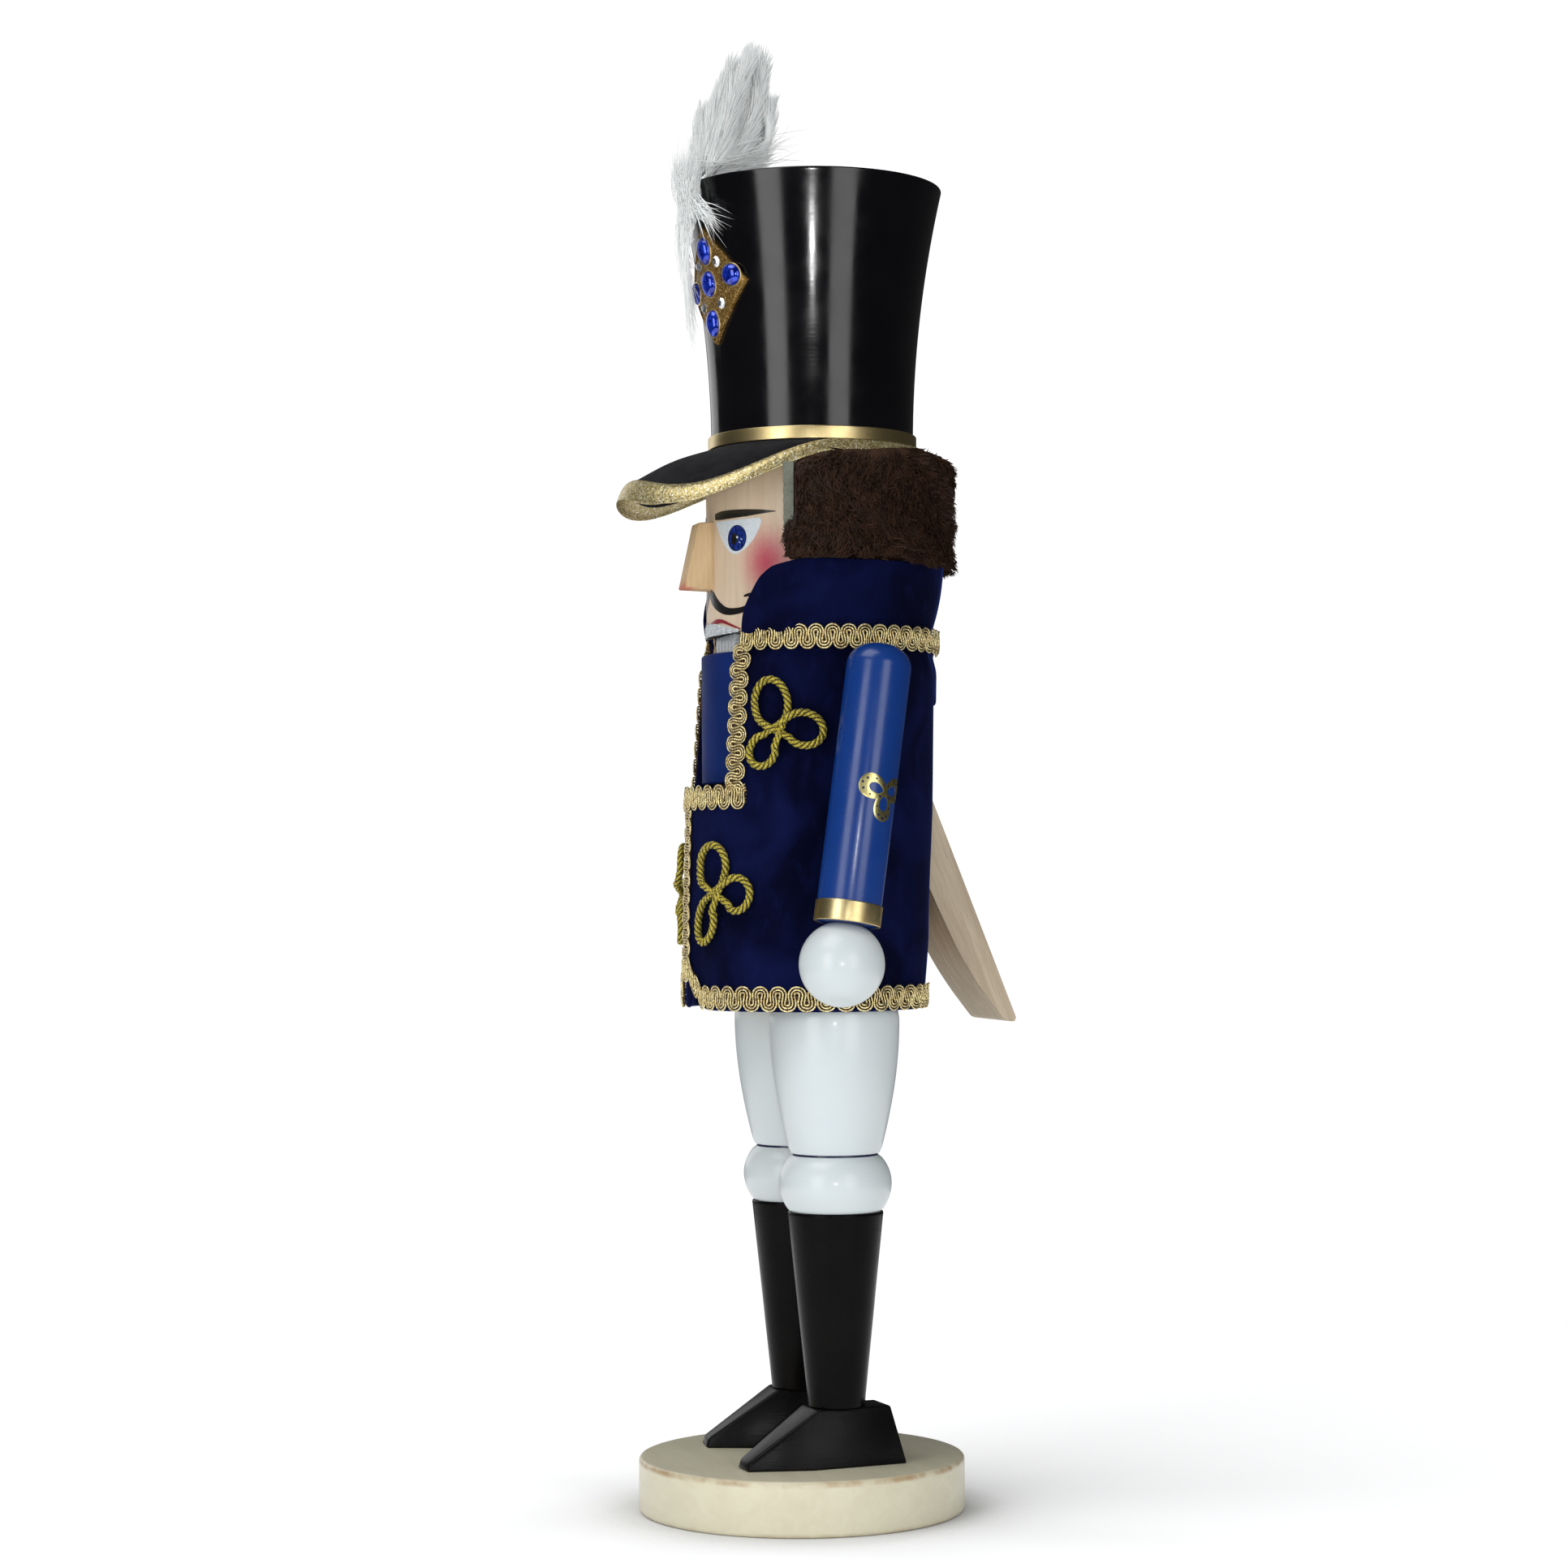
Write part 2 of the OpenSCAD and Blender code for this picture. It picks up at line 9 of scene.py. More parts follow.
import bmesh
import bpy
import numpy as np
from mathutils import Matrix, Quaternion, Vector


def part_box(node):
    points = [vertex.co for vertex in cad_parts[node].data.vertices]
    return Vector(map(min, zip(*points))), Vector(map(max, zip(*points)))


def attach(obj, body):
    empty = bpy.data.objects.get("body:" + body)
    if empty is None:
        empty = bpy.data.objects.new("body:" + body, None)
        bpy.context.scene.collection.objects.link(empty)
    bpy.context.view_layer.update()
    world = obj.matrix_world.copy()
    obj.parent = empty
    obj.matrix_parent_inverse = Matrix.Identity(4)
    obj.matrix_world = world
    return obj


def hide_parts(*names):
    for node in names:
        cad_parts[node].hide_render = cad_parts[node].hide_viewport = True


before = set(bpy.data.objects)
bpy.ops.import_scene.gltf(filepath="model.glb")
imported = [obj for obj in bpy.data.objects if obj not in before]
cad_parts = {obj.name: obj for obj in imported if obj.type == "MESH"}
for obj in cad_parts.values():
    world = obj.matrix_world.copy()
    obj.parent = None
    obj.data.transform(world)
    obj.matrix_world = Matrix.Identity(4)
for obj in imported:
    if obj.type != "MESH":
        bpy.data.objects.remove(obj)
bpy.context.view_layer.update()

MM = 0.001
LEFT, RIGHT = 1, -1
SIDES = {"left": LEFT, "right": RIGHT}


def span(node):
    """Lowest and highest corner of a CAD node, in millimetres."""
    low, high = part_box(node)
    return np.array(low) / MM, np.array(high) / MM


AXIS_Y = float(sum(span("head"))[1] / 2)
HEAD_R = float((span("head")[1] - span("head")[0])[0] / 2)
HEAD_TOP = float(span("head")[1][2])
HEM_Z = float(span("coat_body")[0][2])
COAT_TOP = float(span("coat_body")[1][2])


# ---------------------------------------------------------------- shapes

def around(a, r, z):
    """Points a degrees round from the front, r from the body's axis, at height z."""
    a, r, z = np.broadcast_arrays(np.radians(a), r, z)
    return np.stack([r * np.sin(a), AXIS_Y - r * np.cos(a), z], -1)


def off_axis(points):
    """The level part of the way from the body's axis to each point."""
    return (points - [0, AXIS_Y, 0]) * [1, 1, 0]


def unit(v):
    return v / np.maximum(np.linalg.norm(v, axis=-1, keepdims=True), 1e-9)


def ease(x):
    """0 to 1, flat at both ends."""
    x = np.clip(x, 0, 1)
    return x * x * (3 - 2 * x)


def quads(rows, cols, wrap=False):
    """Faces of a grid of points; wrap joins the last column to the first."""
    i, j = np.meshgrid(np.arange(rows - 1), np.arange(cols if wrap else cols - 1), indexing="ij")
    k = (j + 1) % cols
    faces = np.stack([i * cols + j, i * cols + k, (i + 1) * cols + k, (i + 1) * cols + j], -1)
    return faces.reshape(-1, 4)


class Shape:
    """Points and faces of one piece, gathered part by part."""

    def __init__(self):
        self.points = []
        self.faces = []
        self.count = 0

    def add(self, points, faces):
        points = np.asarray(points, float).reshape(-1, 3)
        if isinstance(faces, np.ndarray):
            faces = (faces + self.count).tolist()
        else:
            faces = [[v + self.count for v in face] for face in faces]
        self.points.append(points)
        self.faces += faces
        self.count += len(points)
        return self

    def mirrored(self):
        """The same shape on the figure's other side."""
        other = Shape()
        other.points = [p * [-1, 1, 1] for p in self.points]
        other.faces = [face[::-1] for face in self.faces]
        other.count = self.count
        return other


def fillet(corners, steps=6):
    """A line through (x, y, rounding) corners, each one rounded off."""
    line = []
    for i, (x, y, rounding) in enumerate(corners):
        here = np.array([x, y], float)
        if rounding == 0 or i in (0, len(corners) - 1):
            line.append(here)
            continue
        before = np.array(corners[i - 1][:2], float) - here
        after = np.array(corners[i + 1][:2], float) - here
        reach = min(rounding, np.linalg.norm(before) * 0.49, np.linalg.norm(after) * 0.49)
        start, end = here + unit(before) * reach, here + unit(after) * reach
        for t in np.linspace(0, 1, steps):
            line.append(start * (1 - t) ** 2 + 2 * here * t * (1 - t) + end * t * t)
    return np.array(line)


def lathe(profile, centre=(0.0, None), steps=96):
    """A turned solid or ring; profile is radius and height, from one end round to the other."""
    profile = np.asarray(profile, float)
    cx, cy = centre[0], AXIS_Y if centre[1] is None else centre[1]
    t = np.linspace(0, 2 * np.pi, steps, endpoint=False)
    points = np.stack([
        cx + profile[:, :1] * np.sin(t),
        cy - profile[:, :1] * np.cos(t),
        np.repeat(profile[:, 1:2], steps, 1)], -1)
    return Shape().add(points, quads(len(profile), steps, wrap=True))


def curve_through(points, count, closed=False):
    """A smooth line of count points through the given ones."""
    p = np.asarray(points, float)
    if closed:
        p = np.concatenate([p[-1:], p, p[:2]])
    else:
        p = np.concatenate([2 * p[:1] - p[1:2], p, 2 * p[-1:] - p[-2:-1]])
    spans = len(p) - 3
    t = np.linspace(0, spans, count, endpoint=not closed)
    i = np.minimum(t.astype(int), spans - 1)
    u = (t - i)[:, None]
    a, b, c, d = p[i], p[i + 1], p[i + 2], p[i + 3]
    return 0.5 * (2 * b + (c - a) * u + (2 * a - 5 * b + 4 * c - d) * u**2
                  + (3 * b - a - 3 * c + d) * u**3)


def tube(path, radius, normals, sides=8, closed=False):
    """A round tube along a path; normals keep it from twisting."""
    along = unit(np.gradient(path, axis=0))
    if closed:
        along = unit(np.roll(path, -1, 0) - np.roll(path, 1, 0))
    aside = unit(np.cross(along, normals))
    up = np.cross(aside, along)
    t = np.linspace(0, 2 * np.pi, sides, endpoint=False)[None, :, None]
    radius = np.broadcast_to(radius, len(path))[:, None, None]
    points = path[:, None] + radius * (aside[:, None] * np.cos(t) + up[:, None] * np.sin(t))
    n = len(path)
    if closed:
        faces = quads(n + 1, sides, wrap=True) % (n * sides)
        return points, faces
    faces = quads(n, sides, wrap=True).tolist()
    faces += [list(range(sides))[::-1], list(range((n - 1) * sides, n * sides))]
    return points, faces


def strands(paths, radii, outward, sides=3, flat=1.0):
    """Many tapering hairs at once: paths is hair, step, xyz, and radii is one for each step."""
    n, steps = paths.shape[:2]
    along = unit(np.gradient(paths, axis=1))
    aside = unit(np.cross(along, outward))
    up = np.cross(aside, along)
    t = np.linspace(0, 2 * np.pi, sides, endpoint=False)
    ring = aside[:, :, None] * np.cos(t)[:, None] + flat * up[:, :, None] * np.sin(t)[:, None]
    body = (paths[:, :, None] + np.asarray(radii)[None, :, None, None] * ring)[:, :-1]
    points = np.concatenate([body.reshape(n, -1, 3), paths[:, -1:]], 1)
    tip = (steps - 1) * sides
    walls = quads(steps - 1, sides, wrap=True)
    last = (steps - 2) * sides
    points_at = [[last + j, last + (j + 1) % sides, tip] for j in range(sides)]
    closing = np.array(points_at + [list(range(sides))[::-1]])
    first = np.arange(n)[:, None, None] * (tip + 1)
    faces = (first + walls[None]).reshape(-1, 4).tolist()
    faces += (first + closing[None]).reshape(-1, closing.shape[1]).tolist()
    shape = Shape()
    shape.points, shape.faces, shape.count = [points.reshape(-1, 3)], faces, n * (tip + 1)
    return shape


def outline_solid(outline, low, high, axes=(0, 1, 2)):
    """A flat outline drawn out from low to high along the third of axes."""
    outline = np.asarray(outline, float)
    n = len(outline)
    points = np.zeros((2 * n, 3))
    points[:, axes[0]] = np.tile(outline[:, 0], 2)
    points[:, axes[1]] = np.tile(outline[:, 1], 2)
    points[:, axes[2]] = np.repeat([low, high], n)
    walls = [[i, (i + 1) % n, n + (i + 1) % n, n + i] for i in range(n)]
    return Shape().add(points, walls + [list(range(n))[::-1], list(range(n, 2 * n))])


def hull_solid(points):
    """The closed solid with flat faces round some points."""
    bm = bmesh.new()
    for p in points:
        bm.verts.new(p)
    bmesh.ops.convex_hull(bm, input=bm.verts)
    bmesh.ops.dissolve_limit(bm, angle_limit=0.01, verts=bm.verts, edges=bm.edges)
    bm.verts.index_update()
    solid = [v.co[:] for v in bm.verts]
    faces = [[v.index for v in f.verts] for f in bm.faces]
    bm.free()
    return Shape().add(solid, faces)


def put(name, data):
    """A new object in the scene."""
    obj = bpy.data.objects.new(name, data)
    bpy.context.scene.collection.objects.link(obj)
    return obj


def settle(obj):
    """Turns the object's modifiers into mesh."""
    bpy.context.view_layer.update()
    done = bpy.data.meshes.new_from_object(obj.evaluated_get(bpy.context.evaluated_depsgraph_get()))
    obj.modifiers.clear()
    obj.data = done


def make(name, shape, material, body="figure", instead_of=(), slot=None, sharp=35, bevel=0,
         shell=0, divide=0, cut=None, fix=True):
    """The finished piece: mesh, edges, material, and the body and nodes that it belongs to."""
    mesh = bpy.data.meshes.new(name)
    mesh.from_pydata((np.concatenate(shape.points) * MM).tolist(), [], shape.faces)
    if fix:
        bm = bmesh.new()
        bm.from_mesh(mesh)
        bmesh.ops.remove_doubles(bm, verts=bm.verts, dist=1e-6)
        bmesh.ops.recalc_face_normals(bm, faces=bm.faces)
        bm.to_mesh(mesh)
        bm.free()
    obj = put(name, mesh)
    for cutter in cut or []:
        modifier = obj.modifiers.new("cut", "BOOLEAN")
        modifier.operation, modifier.solver, modifier.object = "DIFFERENCE", "EXACT", cutter
    if shell:
        modifier = obj.modifiers.new("shell", "SOLIDIFY")
        modifier.thickness, modifier.offset = shell * MM, -1
        modifier.use_even_offset = not divide
    if bevel:
        modifier = obj.modifiers.new("edge", "BEVEL")
        modifier.width, modifier.segments, modifier.limit_method = bevel * MM, 3, "ANGLE"
        modifier.angle_limit = math.radians(25)
    if divide:
        modifier = obj.modifiers.new("smooth", "SUBSURF")
        modifier.levels = modifier.render_levels = divide
    if obj.modifiers:
        settle(obj)
    obj.data.shade_smooth()
    obj.data.set_sharp_from_angle(angle=math.radians(sharp))
    obj.data.materials.clear()
    obj.data.materials.append(material)
    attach(obj, body)
    if instead_of:
        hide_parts(*instead_of)
    return obj


# ---------------------------------------------------------------- materials

class Finish:
    """A material being wired up. Its coordinates are the row frame's, in millimetres."""

    def __init__(self, name, **values):
        self.material = bpy.data.materials.new(name)
        self.material.use_nodes = True
        self.tree = self.material.node_tree
        self.shader = self.tree.nodes["Principled BSDF"]
        place = self.add("TexCoord").outputs["Object"]
        self.mm = self.add("Mapping", {"Vector": place, "Scale": (1000, 1000, 1000)}).outputs[0]
        self.set(**values)

    def plug(self, socket, value):
        """Links a socket to another, or sets it to a number, a vector or a colour."""
        if isinstance(value, bpy.types.NodeSocket):
            self.tree.links.new(value, socket)
        else:
            socket.default_value = (*value, 1) if socket.type == "RGBA" else value

    def add(self, kind, values=None, **settings):
        made = self.tree.nodes.new("ShaderNode" + kind)
        for key, value in settings.items():
            setattr(made, key, value)
        for key, value in (values or {}).items():
            self.plug(made.inputs[key], value)
        return made

    def set(self, **values):
        """Sets shader sockets: coat_roughness=0.1 is the socket Coat Roughness."""
        names = {s.name.lower().replace(" ", "_"): s for s in self.shader.inputs}
        for key, value in values.items():
            self.plug(names[key], value)

    def stretched(self, scale, turn=(0, 0, 0)):
        """Coordinates turned and then scaled, for grain that runs one way."""
        turn = tuple(math.radians(t) for t in turn)
        turned = self.add("Mapping", {"Vector": self.mm, "Rotation": turn}).outputs[0]
        return self.add("Mapping", {"Vector": turned, "Scale": scale}).outputs[0]

    def noise(self, size, where=None, detail=3.0, roughness=0.55, twist=0.0):
        """Noise whose lumps are about size millimetres wide."""
        return self.add("TexNoise", {
            "Vector": where or self.mm, "Scale": 1 / size, "Detail": detail,
            "Roughness": roughness, "Distortion": twist}).outputs["Fac"]

    def cells(self, size, output="Distance", **settings):
        return self.add("TexVoronoi", {"Vector": self.mm, "Scale": 1 / size},
                        **settings).outputs[output]

    def math(self, operation, a, b=0.0, c=0.0):
        return self.add("Math", {0: a, 1: b, 2: c}, operation=operation).outputs[0]

    def between(self, value, low, high, to=(0.0, 1.0)):
        """value from low to high becomes to[0] to to[1], clamped and smooth."""
        return self.add("MapRange", {"Value": value, "From Min": low, "From Max": high,
                                     "To Min": to[0], "To Max": to[1]},
                        interpolation_type="SMOOTHSTEP").outputs[0]

    def mix(self, share, a, b, blend="MIX"):
        values = {0: share, 6: a, 7: b}
        return self.add("Mix", values, data_type="RGBA", blend_type=blend).outputs[2]

    def xyz(self):
        return self.add("SeparateXYZ", {"Vector": self.mm}).outputs

    def bump(self, height, depth, strength=1.0, under=None):
        """Relief of depth millimetres."""
        values = {"Height": height, "Distance": depth * MM, "Strength": strength}
        if under:
            values["Normal"] = under
        return self.add("Bump", values).outputs[0]


def grain(f, along, across, scale=1.0, turn=(0, 0, 0)):
    """Wood: broad growth bands and fine fibres that run along the named axis (0, 1 or 2)."""
    broad, fine = [1 / across] * 3, [1 / (0.32 * scale)] * 3
    broad[along], fine[along] = 1 / (across * 14), 1 / (16 * scale)
    bands = f.noise(1, f.stretched(tuple(broad), turn), detail=4, roughness=0.6, twist=0.6)
    fibres = f.noise(1, f.stretched(tuple(fine), turn), detail=3, roughness=0.7)
    return bands, fibres


def ivory_wood():
    f = Finish("ivory_wood", coat_weight=0.4, coat_roughness=0.22)
    bands, fibres = grain(f, 0, 4.5)
    base = f.mix(f.between(bands, 0.3, 0.72), (0.63, 0.59, 0.43), (0.67, 0.635, 0.47))
    base = f.mix(f.between(fibres, 0.5, 0.78, (0, 0.14)), base, (0.44, 0.39, 0.24))
    x, y, z = f.xyz()
    worn_from, worn_to, top_edge = 51.8, 53.4, 17.0
    out = f.math("SQRT", f.math("ADD", f.math("MULTIPLY", x, x), f.math("MULTIPLY", y, y)))
    near_rim = f.between(out, worn_from, worn_to)
    off_edge = f.math("ABSOLUTE", f.math("SUBTRACT", z, top_edge))
    rim = f.math("MULTIPLY", near_rim, f.between(off_edge, 0.2, 1.5, (1.0, 0.0)))
    # The lowest 2 mm of the base darken towards brown, and worn joins this to the brown top rim.
    darker_towards_bottom = f.between(z, 0.4, 2.0, (0.4, 0.0))
    patchy = f.between(f.noise(9), 0.35, 0.66, (0.1, 0.8))
    worn = f.math("MULTIPLY", f.math("MAXIMUM", rim, darker_towards_bottom), patchy)
    smudge = f.between(f.noise(22, detail=1), 0.45, 0.75, (0, 0.2))
    base = f.mix(smudge, base, (0.52, 0.48, 0.33))
    f.set(base_color=f.mix(worn, base, (0.36, 0.22, 0.09)),
          roughness=f.between(fibres, 0.3, 0.7, (0.33, 0.5)),
          normal=f.bump(f.math("ADD", fibres, f.math("MULTIPLY", bands, 0.6)), 0.04))
    return f.material


def bare_wood(name, pale, dark, along=2, turn=(0, 0, 0), across=3.2, tip=False):
    f = Finish(name, specular_ior_level=0.35)
    bands, fibres = grain(f, along, across, 0.9, turn)
    base = f.mix(f.between(bands, 0.32, 0.7), dark, pale)
    pores = f.between(fibres, 0.56, 0.72, (0, 0.5))
    base = f.mix(pores, base, tuple(c * 0.45 for c in dark))
    if tip:
        _, y, z = f.xyz()
        low = f.math("MULTIPLY", f.between(z, 304.0, 304.9, (0.8, 0)), f.between(y, -34, -38))
        front = f.math("MULTIPLY", f.between(y, -38.2, -39.5), f.between(z, 304, 309, (0.8, 0)))
        base = f.mix(f.math("MAXIMUM", low, front), base, (0.5, 0.1, 0.07))
    f.set(base_color=base, roughness=f.between(fibres, 0.3, 0.7, (0.5, 0.72)),
          normal=f.bump(f.math("ADD", fibres, bands), 0.08))
    return f.material


def paint(name, color, shade, roughness, coat=0.0, relief=0.02, level=0.5, worn=None):
    """Paint on turned wood: faint lathe rings and grain show through, and the gloss is uneven."""
    f = Finish(name, coat_weight=coat, coat_roughness=0.12, specular_ior_level=level)
    fibres = grain(f, 2, 2.4)[1]
    rings = f.noise(1, f.stretched((0.05, 0.05, 1.4)), detail=3)
    base = f.mix(f.between(f.noise(24, detail=2), 0.3, 0.7), shade, color)
    base = f.mix(f.between(fibres, 0.55, 0.8, (0, 0.2)), base, shade)
    base = f.mix(f.between(rings, 0.5, 0.75, (0, 0.12)), base, shade)
    if worn:
        specks = f.between(f.noise(0.5, detail=1), 0.70, 0.78)
        base = f.mix(f.math("MULTIPLY", specks, 0.4), base, worn)
    rough = f.math("ADD", f.between(f.noise(11), 0.3, 0.7, (-0.03, 0.04)), roughness)
    height = f.math("ADD", rings, f.math("MULTIPLY", fibres, 0.5))
    f.set(base_color=base, roughness=rough, normal=f.bump(height, relief))
    return f.material


def face_wood():
    """Varnished pale wood with sprayed cheeks, and near-black painted shade inside the mouth."""
    f = Finish("face_wood", coat_weight=0.12, coat_roughness=0.35)
    bands, fibres = grain(f, 2, 3.0)
    base = f.mix(f.between(bands, 0.3, 0.7), (0.65, 0.50, 0.355), (0.72, 0.575, 0.42))
    base = f.mix(f.between(fibres, 0.55, 0.75, (0, 0.18)), base, (0.46, 0.31, 0.2))
    cheek_u, cheek_z, mouth_top = 30.5, 311.0, 300
    x, y, z = f.xyz()
    back = f.math("SUBTRACT", y, AXIS_Y)
    turned = f.math("ARCTAN2", f.math("ABSOLUTE", x), f.math("MULTIPLY", back, -1))
    u = f.math("SUBTRACT", f.math("MULTIPLY", turned, HEAD_R), cheek_u)
    v = f.math("MULTIPLY", f.math("SUBTRACT", z, cheek_z), 0.85)
    far = f.math("SQRT", f.math("ADD", f.math("MULTIPLY", u, u), f.math("MULTIPLY", v, v)))
    far = f.math("ADD", far, f.math("MULTIPLY", f.noise(1.0, detail=2), 2.0))
    base = f.mix(f.between(far, 1.0, 15.0, (1.0, 0.0)), base, (0.50, 0.045, 0.085))
    out = f.math("SQRT", f.math("ADD", f.math("MULTIPLY", x, x), f.math("MULTIPLY", back, back)))
    # Near-black on the cut faces inside the mouth's slot and palate: painted shade of the recess.
    inside = f.math("MULTIPLY", f.between(out, HEAD_R - 0.6, HEAD_R - 0.3, (1, 0)),
                    f.between(z, mouth_top - 1, mouth_top, (1, 0)))
    f.set(base_color=f.mix(inside, base, (0.012, 0.011, 0.012)),
          roughness=f.between(fibres, 0.3, 0.7, (0.42, 0.58)),
          normal=f.bump(f.math("ADD", fibres, bands), 0.05))
    return f.material


def velvet():
    """Dark blue velvet: short pile that catches light at its edges, brushed in patches."""
    f = Finish("blue_velvet", roughness=0.9, specular_ior_level=0.05, sheen_weight=0.62,
               sheen_roughness=0.22, sheen_tint=(0.035, 0.085, 0.46))
    brushed = f.between(f.noise(30, detail=2, twist=0.6), 0.34, 0.7)
    pile = f.noise(0.32, detail=2)
    crushed = f.noise(3.4, f.stretched((1, 1, 0.5)), detail=2)
    base = f.mix(brushed, (0.0008, 0.0013, 0.013), (0.0030, 0.0055, 0.042))
    base = f.mix(f.between(crushed, 0.5, 0.75, (0, 0.2)), base, (0.005, 0.010, 0.062))
    lying = f.bump(f.noise(9, detail=2), 0.35, 0.45)
    f.set(base_color=base, normal=f.bump(f.math("ADD", pile, crushed), 0.10, 0.6, lying))
    return f.material


def felt():
    f = Finish("black_felt", roughness=0.95, specular_ior_level=0.1, sheen_weight=0.12,
               sheen_roughness=0.5, sheen_tint=(0.5, 0.5, 0.55))
    fluff = f.noise(0.45, detail=5, roughness=0.7, twist=1.5)
    base = f.mix(f.between(f.noise(5), 0.35, 0.65), (0.003, 0.003, 0.004), (0.008, 0.008, 0.010))
    lint = f.between(f.noise(0.7, detail=1), 0.74, 0.8, (0, 0.4))
    f.set(base_color=f.mix(lint, base, (0.05, 0.05, 0.055)), normal=f.bump(fluff, 0.2, 0.8))
    return f.material


def fur():
    f = Finish("brown_fur", specular_ior_level=0.25, sheen_weight=0.1, sheen_roughness=0.4,
               sheen_tint=(0.45, 0.25, 0.15))
    tufts = f.between(f.noise(4.5, detail=2), 0.35, 0.68)
    hairs = f.between(f.noise(0.6, detail=2), 0.35, 0.68)
    base = f.mix(tufts, (0.014, 0.006, 0.003), (0.042, 0.018, 0.009))
    base = f.mix(f.math("MULTIPLY", hairs, 0.5), base, (0.070, 0.034, 0.018))
    f.set(base_color=base, roughness=f.between(hairs, 0, 1, (0.5, 0.75)),
          normal=f.bump(hairs, 0.05))
    return f.material


def feather():
    f = Finish("white_feather", roughness=0.8, specular_ior_level=0.15, sheen_weight=0.5,
               sheen_roughness=0.5, sheen_tint=(1.0, 1.0, 1.0))
    bands = f.noise(1, f.stretched((0.5, 0.5, 0.09)), detail=3)
    base = f.mix(f.between(bands, 0.35, 0.68), (0.86, 0.89, 0.88), (0.95, 0.96, 0.95))
    f.set(base_color=base, normal=f.bump(f.noise(0.4), 0.05))
    return f.material


def gold(name, color, dark, roughness, wear=9.0, relief=0.02, lines=None):
    """Polished or brushed gold; lines is the spacing of brush marks up the band."""
    f = Finish(name, metallic=1.0)
    patches = f.between(f.noise(wear, detail=3), 0.35, 0.7)
    base = f.mix(patches, dark, color)
    marks = f.noise(0.5)
    if lines:
        marks = f.noise(1, f.stretched((0.15, 0.15, 1 / lines)), detail=2)
    f.set(base_color=base, roughness=f.math("ADD", f.math("MULTIPLY", patches, -0.06), roughness),
          normal=f.bump(marks, relief))
    return f.material


def glitter(name, color, dark, painted_glint_color, size=0.42, matt=0.45):
    """Flakes of glitter, each tipped its own way and its own shade; a few take a pale colour as painted
    glints.
    """
    f = Finish(name, metallic=0.75)
    tone = f.cells(size, "Color")
    shade = f.add("SeparateColor", {"Color": tone}).outputs
    base = f.mix(f.between(shade[0], 0.15, 0.85), dark, color)
    # A few flakes take the pale glint colour: painted glints.
    base = f.mix(f.between(shade[1], 0.86, 0.92), base, painted_glint_color)
    tilt = f.add("Bump", {"Height": shade[2], "Distance": 0.5 * MM, "Strength": 0.9}).outputs[0]
    lumps = f.bump(f.noise(1.8), 0.4, 0.8, tilt)
    f.set(base_color=base, roughness=f.between(shade[0], 0, 1, (matt - 0.2, matt)), normal=lumps)
    return f.material


def metal_thread(name, color, dark, metallic, roughness, twist=0.35):
    """Fine wrapped thread, its dark colour painted shade down between the turns."""
    f = Finish(name, metallic=metallic, sheen_weight=0.1, sheen_roughness=0.4)
    wraps_and_turn_shade = f.noise(twist, detail=2)
    patches = f.between(f.noise(3.5), 0.35, 0.68)
    # dark stands for the shade between the turns: painted shade.
    base = f.mix(f.between(wraps_and_turn_shade, 0.36, 0.58), dark, color)
    base = f.mix(f.math("MULTIPLY", patches, 0.3), base, tuple(min(1, c * 1.25) for c in color))
    f.set(base_color=base, roughness=f.between(wraps_and_turn_shade, 0.3, 0.7, (roughness, roughness + 0.15)),
          normal=f.bump(wraps_and_turn_shade, 0.16))
    return f.material


def gem(name, color, deep, metallic):
    f = Finish(name, roughness=0.08, metallic=metallic, coat_weight=1.0, coat_roughness=0.02,
               specular_ior_level=0.7)
    facets = f.cells(1.1, "Color")
    # Each facet cell is painted lighter or darker between deep and color: painted reflections of facets
    # catching light.
    facet_glints_painted = f.add("SeparateColor", {"Color": facets}).outputs
    under = f.add("Bump", {"Height": facet_glints_painted[1], "Distance": 0.5 * MM, "Strength": 0.5}).outputs[0]
    f.set(base_color=f.mix(f.between(facet_glints_painted[0], 0.1, 0.9), deep, color), normal=under)
    return f.material


def enamel(name, color, shade, roughness=0.3):
    """Brushed-on paint with streaks."""
    f = Finish(name, coat_weight=0.3, coat_roughness=0.15)
    streaks = f.noise(1, f.stretched((0.6, 0.6, 2.2)), detail=3)
    f.set(base_color=f.mix(f.between(streaks, 0.35, 0.7), shade, color),
          roughness=f.between(streaks, 0.3, 0.7, (roughness, roughness + 0.15)),
          normal=f.bump(streaks, 0.05))
    return f.material


def steel():
    f = Finish("pin_steel", metallic=1.0)
    marks = f.noise(1, f.stretched((0.1, 3, 3)), detail=3)
    f.set(base_color=f.mix(marks, (0.35, 0.35, 0.37), (0.6, 0.6, 0.62)),
          roughness=f.between(marks, 0.3, 0.7, (0.25, 0.45)), normal=f.bump(marks, 0.02))
    return f.material


def iris_paint():
    """Blue paint with fine rays."""
    f = Finish("iris_paint", coat_weight=0.6, coat_roughness=0.08)
    rays = f.noise(1, f.stretched((1.6, 1.6, 0.7)), detail=3)
    f.set(base_color=f.mix(f.between(rays, 0.35, 0.66), (0.004, 0.010, 0.085), (0.006, 0.035, 0.30)),
          roughness=f.between(rays, 0.3, 0.7, (0.2, 0.35)), normal=f.bump(rays, 0.03))
    return f.material


# ---------------------------------------------------------------- base and legs

def centre_of(node):
    low, high = span(node)
    return (float(low[0] + high[0]) / 2, float(low[1] + high[1]) / 2)


def turned(name, node, corners, material, slot):
    """A solid turned on the node's own axis; corners are radius, height and rounding."""
    line = fillet([(0, corners[0][1], 0)] + corners + [(0, corners[-1][1], 0)])
    make(name, lathe(line, centre_of(node)), material, instead_of=[node], slot=slot)


